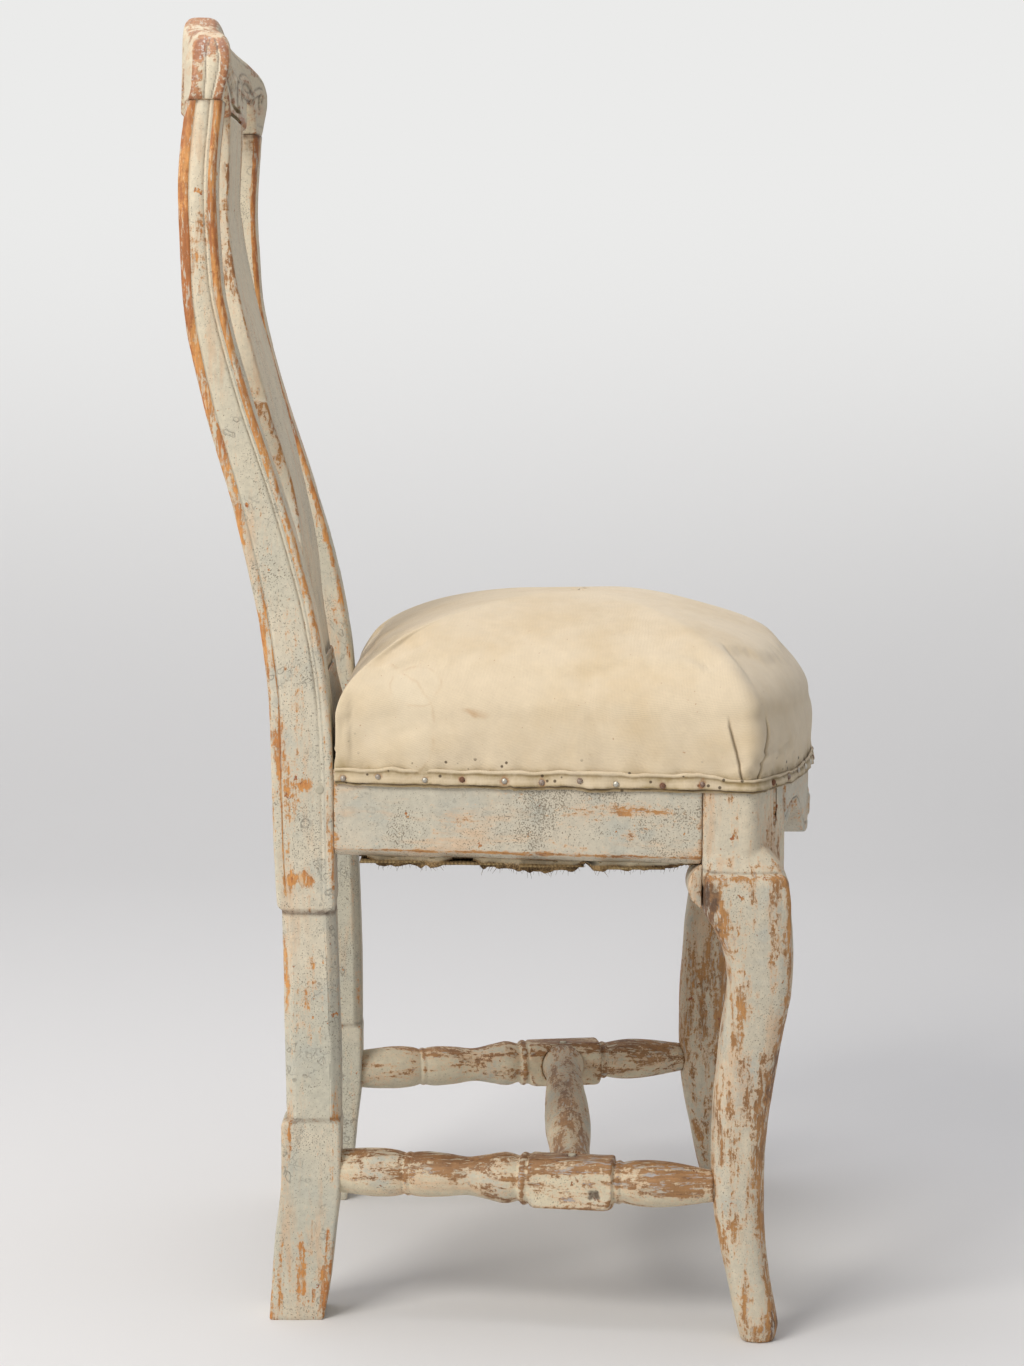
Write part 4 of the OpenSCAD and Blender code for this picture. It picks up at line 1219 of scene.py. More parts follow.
@dataclass
class Crest:
    """The bowed top rail with its low carving: a shell between two leafy scrolls, inside a rim."""

    nodes: dict
    paint: Material
    voxel: float = 1.15 * MM
    rim: float = 8 * MM
    ribs: int = 9
    beads: tuple[float, float] = (7.9 * MM, 10.5 * MM)
    marks: tuple[Mark, ...] = rows_of(
        (-186, 226, 994, 20, 9, 13, 0.55), (-150, 244, 1004, 40, 8, 12, 0.3),
        (-186, 227, 967, 16, 6.5, 12, -0.5),
        (0, 235, 1030, 40, 20, 8, 0.35), (120, 232, 1008, 60, 12, 8, 0.3),
    )

    def carving(self, spots: Array, joint: float) -> tuple[Array, Array]:
        """Height of the carving above the face, and how deep its hollows are.

        Args:
            spots: points of the crest.
            joint: height of the joint with the posts.

        Returns:
            The rise in metres, and the hollows from 0 to 1.
        """
        node = self.nodes["crest_rail"]
        x, z = spots[:, 0] / MM, (spots[:, 2] - joint) / MM
        low, high = outline_range(node, spots[:, 0])
        lean = np.gradient(outline_range(node, np.linspace(-0.18, 0.18, 181))[1], 0.002)
        slope = np.interp(spots[:, 0], np.linspace(-0.18, 0.18, 181), relax_line(lean, 4))
        top = (high - spots[:, 2]) / np.sqrt(1 + slope**2)
        under = spots[:, 2] - low
        rise = np.zeros(len(x))
        hollow = np.zeros(len(x))
        for away, where in ((top, self.rim), (under, self.rim)):
            line = hump(away - where, 0.9 * MM)
            rise -= 1.3 * MM * line
            hollow = np.maximum(hollow, line)
        reach = np.hypot(x, z - 30)
        angle = np.arctan2(x, z - 30)
        fan = (np.abs(angle) < 1.85) & (reach < 34)
        rib = 0.5 + 0.5 * np.cos(angle * self.ribs)
        fade = smooth(reach, 7, 12) * (1 - smooth(reach, 29, 34)) * (1 - smooth(np.abs(angle), 1.6, 1.85))
        shell = (1.2 + 2.2 * rib) * fade * fan
        button = 3.0 * np.sqrt(np.clip(1 - (reach / 7.5) ** 2, 0, 1))
        rise += MM * np.maximum(shell, button)
        hollow = np.maximum(hollow, (1 - rib) * fade * fan)
        flat = np.stack([np.abs(x), z], 1)
        for line, wide, tall in (
            (scroll((24, 12), [(44, 20), (60, 44), (92, 46), (112, 36)], (112, 27), 9, -1), 4.0, 2.4),
            (scroll((62, 30), [(80, 28), (104, 20), (132, 36), (150, 36)], (150, 29), 7, -1), 3.4, 1.9),
            (scroll((22, 40), [(34, 46), (48, 44), (58, 36), (66, 34)], (64, 28), 5.5, -1), 2.8, 1.6),
        ):
            away, place = from_line(flat, line)
            width = wide * (1 - 0.55 * place)
            ridge = np.sqrt(np.clip(1 - (away / width) ** 2, 0, 1))
            vein = 0.7 * hump(away, 0.7) * (place < 0.5)
            rise = np.maximum(rise, MM * tall * ridge) - MM * vein * (ridge > 0)
            hollow = np.maximum(hollow, hump(away - width, 1.1) * 0.8)
        return rise, hollow

    def set_back(self, mesh: Mesh) -> None:
        """Moves the crest's two ends back, flush with the posts below them."""
        spots = points_of(mesh)
        share = np.clip((spots[:, 1] - 210.5 * MM) / (26.5 * MM), 0, 1)
        z = spots[:, 2] / MM
        front = POST_LEAN[-1][1] * (1 - smooth(z, 951, 985))
        back = 2.2 * smooth(z, 932, 950) + 3.8 * smooth(z, 955, 985) - 3 * smooth(z, 985, 1010)
        spots[:, 1] += (front + (back - front) * share) * MM * smooth(np.abs(spots[:, 0]), 0.11, 0.165)
        move_points(mesh, spots)

    def ends(self, spots: Array, normals: Array) -> tuple[Array, Array]:
        """Grooves that carry the posts' mouldings on over the crest's two ends.

        Args:
            spots: points of the crest.
            normals: their normals.

        Returns:
            How deep each point lies in a groove, and how near it is to the worn bands outside them.
        """
        outer = (np.abs(spots[:, 0]) > 0.16) & (np.abs(normals[:, 0]) > 0.5)
        level = np.round((spots[:, 2] - spots[:, 2].min()) / (3 * MM)).astype(int)
        front, back = np.full(level.max() + 1, np.nan), np.full(level.max() + 1, np.nan)
        for k in np.unique(level[outer]):
            row = spots[outer & (level == k), 1]
            front[k], back[k] = row.min(), row.max()
        known = np.where(~np.isnan(front))[0]
        front, back = (relax_line(np.interp(np.arange(len(front)), known, v[known]), 4) for v in (front, back))
        facing = smooth(np.abs(normals[:, 0]), 0.35, 0.7) * (np.abs(spots[:, 0]) > 0.15)
        before, behind = spots[:, 1] - front[level], back[level] - spots[:, 1]
        groove = sum(hump(d - at, 1.0 * MM) for d, at in zip((before, behind), self.beads))
        band = np.maximum(1 - smooth(before, 5 * MM, 7 * MM), 1 - smooth(behind, 8.3 * MM, 10 * MM))
        return groove * facing, band * facing

    def build(self) -> Object:
        """Builds the crest.

        Returns:
            The finished piece.
        """
        node = self.nodes["crest_rail"]
        mesh = remeshed(node, "crest_worked", self.voxel, 2)
        self.set_back(mesh)
        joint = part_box("splat")[1].z - 12 * MM
        edge = np.clip(relax(sharpness(mesh, 12, 0.55 * MM), edges_of(mesh), 2), 0, 1)
        spots, normals = points_of(mesh), normals_of(mesh)
        rise, hollow = self.carving(spots, joint)
        facing = smooth(-normals[:, 1], 0.35, 0.7)
        groove, band = self.ends(spots, normals)
        push_out(mesh, rise * facing - 1.3 * MM * groove)
        move_points(mesh, relax(points_of(mesh), edges_of(mesh), 1, 0.35))
        proud = np.clip(sharpness(mesh, 6, 0.5 * MM), -1, 1)
        spots = points_of(mesh)
        edge = np.maximum(edge, 0.8 * np.clip(proud, 0, 1)) * (0.7 + 0.3 * lumps(spots, 30, 3))
        # Grime: front-facing faces darkened by half as painted shade, and dirt in the carving's hollows, the end
        # grooves and the sharp hollows
        grime = np.clip((0.5 + 0.3 * hollow) * facing + 0.8 * groove + np.clip(-proud, 0, 1) * 0.6, 0, 1)
        over = 0.6 * band + 0.2 * smooth(normals[:, 2], 0.4, 0.9)
        weather(mesh, edge, grime, marked(spots, self.marks) + over, 0.8 * MM, 31)
        return finish_piece(mesh, "crest_carved", ("crest_rail",), self.paint)


def relax_line(values: Array, rounds: int) -> Array:
    """Evens a row of values."""
    for _ in range(rounds):
        values = np.convolve(np.pad(values, 1, "edge"), (0.25, 0.5, 0.25), "valid")
    return values


@dataclass
class CarvedPiece:
    """A plain piece of the frame with softened arrises, dents and its own worn places."""

    nodes: dict
    paint: Material
    node: str
    voxel: float = 2.0 * MM
    seed: int = 41
    dents: float = 0.8 * MM
    sharp: float = 0.8 * MM
    reach: int = 8
    trodden: float = 0.0
    dirt: float = 0.5
    fore: float = 0.0
    rounds: int = 2
    marks: tuple[Mark, ...] = ()
    bites: tuple[Mark, ...] = ()
    soot: tuple[Mark, ...] = ()

    def shaped(self, mesh: Mesh) -> Array:
        """Carves the piece; a plain piece has only its knocks.

        Args:
            mesh: the piece's even skin.

        Returns:
            How deep the carved hollows are, from 0 to 1.
        """
        spots = points_of(mesh)
        depth = marked(spots, self.bites) * MM
        rough = 0.6 + 0.8 * np.abs(lumps(spots, 4, self.seed + 9)) + 0.4 * lumps(spots, 9, self.seed + 10)
        push_out(mesh, -depth * rough)
        return np.clip(depth / (2 * MM), 0, 1)

    def rubbed(self, spots: Array, normals: Array) -> Array:
        """Extra rubbing of each point: its marks, the top where feet rest, and the front of a leg."""
        fore = self.fore * smooth(-normals[:, 1], 0.1, 0.8) * (1 - smooth(spots[:, 2], 0.29, 0.34))
        return marked(spots, self.marks) + self.trodden * smooth(normals[:, 2], 0.1, 0.8) + fore

    def build(self) -> Object:
        """Builds the piece.

        Returns:
            The finished piece.
        """
        mesh = remeshed(self.nodes[self.node], f"{self.node}_worked", self.voxel, self.rounds)
        hollow = self.shaped(mesh)
        proud = sharpness(mesh, self.reach, self.sharp)
        spots, normals = points_of(mesh), normals_of(mesh)
        edge = np.clip(relax(np.clip(proud, 0, 1), edges_of(mesh), 2) * 1.3, 0, 1)
        edge = edge * patchy(spots, 0.62, 38, 13, self.seed + 5)
        # Grime: dirt in the sharp and carved hollows, and the darkened marks, dirt with painted shade in the dents
        # and the peg hole
        grime = np.clip(self.dirt * np.clip(-proud, 0, 1) + 0.7 * hollow + marked(spots, self.soot), 0, 1)
        weather(mesh, edge, grime, self.rubbed(spots, normals), self.dents, self.seed)
        return finish_piece(mesh, f"{self.node}_carved", (self.node,), self.paint)


@dataclass
class SideRail(CarvedPiece):
    """A side seat rail, with a chamfer worked along its lower outer arris."""

    side: Side = Side.RIGHT
    tall: float = 5.5 * MM
    deep: float = 3.0 * MM

    def shaped(self, mesh: Mesh) -> Array:
        """Planes the chamfer off."""
        spots, normals = points_of(mesh), normals_of(mesh)
        bottom = spots[:, 2].min()
        out = self.side.out * spots[:, 0]
        face = (self.side.out * normals[:, 0] > 0.9) & (spots[:, 2] > bottom + 0.02)
        slope, start = np.polyfit(spots[face, 1], out[face], 1)
        within = np.clip(1 - (start + slope * spots[:, 1] - out) / (8 * MM), 0, 1)
        cut = self.deep * np.clip(1 - (spots[:, 2] - bottom) / self.tall, 0, 1) * within
        spots[:, 0] -= self.side.out * cut
        move_points(mesh, spots)
        return super().shaped(mesh)

    def rubbed(self, spots: Array, normals: Array) -> Array:
        """Extra rubbing of each point, and the worn line above the chamfer."""
        over = (spots[:, 2] - spots[:, 2].min() - self.tall) / MM
        line = hump(over, 1.0) - 0.5 * hump(over + 3, 1.4)
        broken = 0.75 + 0.5 * lumps(spots, 16, self.seed + 7)
        return super().rubbed(spots, normals) + 0.42 * line * broken * (self.side.out * normals[:, 0] > 0.3)


@dataclass
class FrontLeg(CarvedPiece):
    """A cabriole leg, whose knee stands out under the corner block as a rounded shelf."""

    side: Side = Side.RIGHT
    shelf: float = 4.0 * MM
    shelf_top: float = 0.3675

    def shaped(self, mesh: Mesh) -> Array:
        """Swells the side of the knee out under the block, then knocks it about."""
        spots, normals = points_of(mesh), normals_of(mesh)
        z = spots[:, 2] + 1.4 * MM * lumps(spots, 24, self.seed)
        below = (1 - smooth(z, self.shelf_top - 5.0 * MM, self.shelf_top + 0.5 * MM)) * smooth(z, 0.29, 0.345)
        outer = smooth(self.side.out * normals[:, 0], 0.2, 0.8) * smooth(self.side.out * spots[:, 0], 0.2, 0.225)
        push_out(mesh, self.shelf * below * outer)
        hollow = super().shaped(mesh)
        line = hump(z - self.shelf_top - 1 * MM, 1.6 * MM) * (self.side.out * spots[:, 0] > 0.2)
        return np.maximum(hollow, 0.75 * line)


@dataclass
class FrontRail(CarvedPiece):
    """The bowed front rail, with an incised line that follows its scalloped edge and a small shell."""

    node: str = "front_rail"
    line_in: float = 7.5 * MM

    def shaped(self, mesh: Mesh) -> Array:
        """Cuts the line and the shell into the front face."""
        super().shaped(mesh)
        spots, normals = less_bowed(points_of(mesh)), normals_of(mesh)
        low, _ = outline_range(self.nodes[self.node], spots[:, 0])
        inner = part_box(self.node)[1].x - 0.03
        across = np.linspace(-inner, inner, 121)
        under = outline_range(self.nodes[self.node], across)[0]
        slope = np.interp(spots[:, 0], across, np.gradient(relax_line(under, 3), across))
        away = (spots[:, 2] - low) / np.sqrt(1 + slope**2)
        facing = smooth(-normals[:, 1], 0.5, 0.8)
        line = hump(away - self.line_in, 1.1 * MM) * facing
        x, z = spots[:, 0] / MM, (spots[:, 2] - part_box(self.node)[0].z) / MM
        reach, angle = np.hypot(x, z - 14), np.arctan2(x, z - 14)
        fade = smooth(reach, 4, 8) * (1 - smooth(reach, 20, 24)) * (1 - smooth(np.abs(angle), 1.3, 1.6)) * facing
        shell = fade * (0.8 + 1.6 * (0.5 + 0.5 * np.cos(7 * angle)))
        leaf, place = from_line(
            np.stack([np.abs(x), z], 1), scroll((14, 14), [(30, 12), (46, 22), (66, 32), (84, 30)], (84, 23), 7, -1)
        )
        width = 3.6 * (1 - 0.5 * place)
        ridge = np.sqrt(np.clip(1 - (leaf / width) ** 2, 0, 1)) * facing
        rise = np.maximum(shell, 2.0 * ridge) - 1.4 * line * (ridge < 0.05)
        move_points(mesh, spots + normals * (rise * MM)[:, None])
        return np.clip(line + 0.6 * fade * (0.5 - 0.5 * np.cos(7 * angle)), 0, 1)


@dataclass
class Seat:
    """The nailed calico cushion: a sewn cover, blown up over its straw pad by cloth simulation."""

    nodes: dict
    calico: Material
    straw: Material
    finest: float = 0.75 * MM
    fine: float = 2.4 * MM
    coarse: float = 6.0 * MM
    slack: float = 0.02
    pressure: float = 1.2
    cap: float = 2.5 * MM
    give: float = 1.2 * MM
    settling: int = 20
    pleats: tuple[tuple[float, float, int], ...] = ((-27.4 * MM, -12 * MM, -1), (18 * MM, -4.4 * MM, 1))

    def __post_init__(self) -> None:
        """Reads the cushion's sizes from the frame."""
        cover = self.nodes["seat_cover"]
        lo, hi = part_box(cover.name)
        self.top = hi.z
        self.foot = lo.z
        self.rail_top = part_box("side_rail_left")[1].z
        self.roll_top = self.rail_top + 40 * MM
        self.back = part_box("rear_leg_left")[0].y
        self.middle = np.array([0.0, (hi.y + lo.y) / 2])
        self.skin = skin_of(cover)
        self.post_y = hi.y
        self.lay_out()

    def edge_at(self, ways: Array, z: float) -> Array:
        """Casts rays from outside onto the frame's cover.

        Args:
            ways: unit directions from the middle.
            z: height.

        Returns:
            Distance of the skin from the middle in each direction.
        """
        found = []
        for way in ways:
            far = self.middle + way * 0.6
            hit = self.skin.ray_cast(Vector((far[0], far[1], z)), Vector((-way[0], -way[1], 0)))[0]
            found.append(0.0 if hit is None else float(np.linalg.norm(np.array(hit[:2]) - self.middle)))
        return np.array(found)

    def lay_out(self) -> None:
        """Spaces the columns round the outline, closer together at the corners."""
        angles = np.linspace(0, 2 * math.pi, 1441)[:-1] + 1e-4
        ways = np.stack([np.cos(angles), np.sin(angles)], 1)
        far = self.edge_at(ways, self.roll_top - 8 * MM)
        line = self.middle + ways * far[:, None]
        closed = np.vstack([line, line[:1]])
        steps = np.linalg.norm(np.diff(closed, axis=0), axis=1)
        along = np.concatenate([[0], np.cumsum(steps)])
        total = along[-1]
        corner_at = [along[int(np.argmax(sx * line[:, 0] - sy * line[:, 1]))] for sx in (1, -1) for sy in (1, -1)]
        grid = np.linspace(0, total, 4000)
        near = np.min([np.abs((grid - c + total / 2) % total - total / 2) for c in corner_at], axis=0)
        size = self.fine + (self.coarse - self.fine) * smooth(near, 28 * MM, 60 * MM)
        self.total = total
        self.front_corners = [corner_at[0], corner_at[2]]
        for away in self.from_pleats(grid):
            size = np.minimum(size, self.finest + (self.fine - self.finest) * smooth(np.abs(away), 3 * MM, 12 * MM))
        count = np.concatenate([[0], np.cumsum((grid[1] - grid[0]) / size)])[:-1]
        number = int(round(count[-1]))
        at = np.interp(np.linspace(0, count[-1], number + 1)[:-1], count, grid)
        self.rim = np.stack([np.interp(at, along, closed[:, k]) for k in (0, 1)], 1)
        self.at, self.along, self.closed = at, along, closed
        self.rear = self.rim[:, 1] > self.back - 6 * MM

    def from_pleats(self, at: Array) -> list[Array]:
        """Distance of places along the outline from the middle of each corner pleat, outwards from its V."""
        found = []
        for corner, way in zip(self.front_corners, (-1, 1)):
            s = way * ((at - corner + self.total / 2) % self.total - self.total / 2)
            found += [(s - (top + foot) / 2) * lap for top, foot, lap in self.pleats]
        return found

    def ways_at(self, z: float) -> Array:
        """Directions of the columns at a height: near a corner they lean along its pleats."""
        high = min(max((z - self.foot) / (self.roll_top + 6 * MM - self.foot), 0), 1) - 0.5
        at = self.at.copy()
        turns = [way * lap for way in (-1, 1) for _, _, lap in self.pleats]
        leans = [(top - foot) * lap for top, foot, lap in self.pleats] * 2
        for away, turn, lean in zip(self.from_pleats(self.at), turns, leans):
            at += turn * lean * high * hump(away, 14 * MM)
        spots = np.stack([np.interp(at % self.total, self.along, self.closed[:, k]) for k in (0, 1)], 1) - self.middle
        return spots / np.linalg.norm(spots, axis=1)[:, None]

    def rows(self) -> list[Array]:
        """Rings of points from the lower edge up to the crown."""
        made = []
        low, high = self.foot, self.roll_top
        for z in np.linspace(low, high, int((high - low) / (3.2 * MM)) + 1):
            ways = self.ways_at(z)
            seen = self.edge_at(ways, max(z, low + 0.4 * MM))
            fixed = self.edge_at(ways, max(z, self.rail_top + 1 * MM))
            far = np.where((seen < 0.05) | self.rear, fixed, seen)
            spots = self.middle + ways * far[:, None]
            height = np.where(self.rear, np.maximum(z, self.rail_top + 0.6 * MM + (z - low) * 0.05), z)
            made.append(np.column_stack([spots, height]))
        lift = self.top - self.roll_top
        base = made[-1][:, :2]
        for a in np.linspace(0, math.radians(88.2), 47)[1:]:
            flat = self.middle + (base - self.middle) * math.cos(a)
            made.append(np.column_stack([flat, np.full(len(base), self.roll_top + lift * math.sin(a))]))
        return made

    def blank(self) -> Mesh:
        """Builds the cover's outer skin with its flat map.

        Returns:
            The mesh.
        """
        rings = self.rows()
        width = len(self.rim)
        spots = np.concatenate([*rings, [[*self.middle, self.top]]])
        mesh = mesh_from("seat_cover_worked", spots, dome_faces(len(rings), width))
        stack = np.array(rings)
        step = np.linalg.norm(np.diff(stack, axis=0), axis=2)
        reach = np.vstack([np.cumsum(step[::-1], axis=0)[::-1], np.zeros(width)]) + 0.006
        flat = reach[:, :, None] * self.ways_at(self.roll_top)[None, :, :]
        flat = np.vstack([flat.reshape(-1, 2), [[0, 0]]])
        flat_map(mesh, flat)
        return mesh

    def blown(self, mesh: Mesh) -> Array:
        """Runs the cloth simulation on evenly spaced columns of the cover, held along the nailed edge.

        Args:
            mesh: the cover's skin.

        Returns:
            Where its points come to rest.
        """
        whole = points_of(mesh)
        width = len(self.rim)
        count = (len(whole) - 1) // width
        pick = [0]
        for i, at in enumerate(self.at):
            if at - self.at[pick[-1]] > self.coarse * 0.9 and self.total - at > self.coarse * 0.6:
                pick.append(i)
        start = np.vstack([whole[:-1].reshape(count, width, 3)[:, pick].reshape(-1, 3), whole[-1:]])
        made = show("seat_cover_cloth", mesh_from("seat_cover_cloth", start, dome_faces(count, len(pick))))
        normals = normals_of(made.data)
        pins = made.vertex_groups.new(name="nailed")
        held = [int(i) for i in np.where(start[:, 2] < self.rail_top + 2 * MM)[0]]
        pins.add(held, 1.0, "REPLACE")
        cloth = made.modifiers.new("cloth", "CLOTH")
        feel = {
            "quality": 5, "mass": 0.25, "tension_stiffness": 18, "compression_stiffness": 18, "shear_stiffness": 8,
            "bending_stiffness": 0.4, "use_pressure": True, "uniform_pressure_force": self.pressure,
            "vertex_group_mass": pins.name, "shrink_min": -self.slack,
        }
        for key, value in feel.items():
            setattr(cloth.settings, key, value)
        cloth.settings.effector_weights.gravity = 0
        cloth.collision_settings.use_collision = False
        for frame in range(1, self.settling + 1):
            bpy.context.scene.frame_set(frame)
        move = points_of(settled(made)) - start
        # The pad holds the cloth from inside, and the seams from outside
        out = (move * normals).sum(axis=1)
        held_out = np.where(out > 0, self.cap * np.tanh(out / self.cap), self.give * np.tanh(out / self.give))
        slide = move - out[:, None] * normals
        length = np.linalg.norm(slide, axis=1)
        slide *= (self.cap * np.tanh(length / self.cap) / np.maximum(length, 1e-9))[:, None]
        move = slide + held_out[:, None] * normals
        rows = move[:-1].reshape(count, len(pick), 3)
        spread = [[np.interp(self.at, self.at[pick], row[:, k], period=self.total) for k in range(3)] for row in rows]
        return whole + np.vstack([np.transpose(spread, (0, 2, 1)).reshape(-1, 3), move[-1:]])

    def creases(self, spots: Array, columns: Array) -> tuple[Array, Array]:
        """Folds, puckers and the dip over the edge roll.

        Args:
            spots: points of the cover.
            columns: place of each point along the outline.

        Returns:
            How far each point moves out, and how much painted shade darkens the fold there.
        """
        z = spots[:, 2]
        push = np.zeros(len(z))
        dark = np.zeros(len(z))
        live = 1 - smooth(z, self.roll_top - 6 * MM, self.roll_top + 8 * MM)
        # Each pleat's lip and groove, with painted shade along the groove
        for d in self.from_pleats(columns):
            lip = np.where(d > 0, np.exp(-d / (10 * MM)), 0.0) * smooth(d, -0.3 * MM, 0.6 * MM)
            push += (1.6 * MM * lip - 1.7 * MM * hump(d + 0.9 * MM, 0.9 * MM)) * live
            dark = np.maximum(dark, 0.8 * hump(d + 0.6 * MM, 0.7 * MM) * live)
        side = 1 - smooth(z, self.roll_top + 4 * MM, self.roll_top + 26 * MM)
        front = 0.3 + 0.7 * smooth(-spots[:, 1], 0.15, 0.2)
        dip = hump(z - self.roll_top - 4 * MM - 2 * MM * lumps(spots, 45, 9), 5 * MM)
        swell = hump(z - self.roll_top + 14 * MM, 12 * MM)
        push += (1.5 * MM * swell - 1.5 * MM * dip) * front
        # Puckers between the tacks, slack drawn towards the back corner, and the fold beside each post with a line of
        # painted shade
        row = places(columns)
        pucker = np.sin(columns * 2 * math.pi / (31 * MM)) + 0.7 * lumps(row, 17, 4)
        low = np.exp(-np.clip(z - self.rail_top - 4 * MM, 0, None) / (14 * MM))
        push += 0.8 * MM * pucker * low * side
        drift = places(columns * 0.9, z * 0.35)
        push += 0.7 * MM * lumps(drift, 24, 7) * side + 1.3 * MM * lumps(spots, 55, 3)
        push += 0.3 * MM * lumps(drift, 7, 12) * side * front
        back = spots[:, 1] - self.back
        pull = places(0.6 * back + 0.8 * z, 0.25 * (0.8 * back - 0.6 * z), np.sign(spots[:, 0]))
        push += 1.1 * MM * lumps(pull, 12, 13) * hump(back, 55 * MM) * side
        push += 1.8 * MM * hump(back + 5 * MM, 2.2 * MM) * side
        dark = np.maximum(dark, 0.2 * hump(back + 9 * MM, 1.3 * MM) * side)
        return push, dark

    def cover(self) -> Object:
        """Sews the cover.

        Returns:
            The finished piece.
        """
        mesh = self.blank()
        rings = (len(mesh.vertices) - 1) // len(self.rim)
        columns = np.append(np.tile(self.at, rings), 0)
        move_points(mesh, self.blown(mesh))
        spots, normals = points_of(mesh), normals_of(mesh)
        push, dark = self.creases(spots, columns)
        free = smooth(spots[:, 2], self.foot, self.rail_top + 3 * MM)
        crown = 1 - smooth(spots[:, 2], self.top - 12 * MM, self.top - 2 * MM) * 0.8
        behind = np.where(np.tile(self.rear, rings).tolist() + [False], 0.15, 1.0)
        spots = spots + normals * (push * free * crown * behind)[:, None]
        spots[:, 1] = np.minimum(spots[:, 1], self.post_y + 1 * MM)
        move_points(mesh, less_bowed(spots))
        mesh = thickened("seat_cover_wall", mesh, 1.1, -1)
        spots = points_of(mesh)
        soil = 0.75 * np.exp(-np.clip(spots[:, 2] - self.rail_top, 0, None) / (7 * MM))
        soil += 0.3 * hump(spots[:, 1] - self.back, 26 * MM) * (0.6 + 0.6 * lumps(spots, 18, 6))
        # The edge value carries the painted shade of the pleats and folds
        store(mesh, grime=np.clip(soil, 0, 1), edge=np.resize(dark, len(spots)), wear=np.zeros(len(spots)))
        made = finish_piece(mesh, "seat_cover_sewn", ("seat_cover",), self.calico)
        return made

    def pad(self) -> Object:
        """Makes the straw pad under the cover.

        Returns:
            The finished piece.
        """
        mesh = remeshed(self.nodes["stuffing"], "stuffing_worked", 5 * MM, 2)
        spots = points_of(mesh)
        tuft = 1.3 * MM * lumps(spots, 13, 2) + 0.8 * MM * lumps(spots, 6, 5) - 2.2 * MM
        spots = less_bowed(spots + normals_of(mesh) * tuft[:, None])
        rail, across = self.nodes["front_rail"], np.linspace(-0.17, 0.17, 35)
        apron = np.interp(spots[:, 0], across, [rail_inside(rail, x) for x in across])
        spots[:, 2] = np.maximum(spots[:, 2], spots[:, 2].min() + drawn_up(spots[:, 1] - apron))
        move_points(mesh, spots)
        made = finish_piece(mesh, "straw_pad", ("stuffing",), self.straw)
        return made


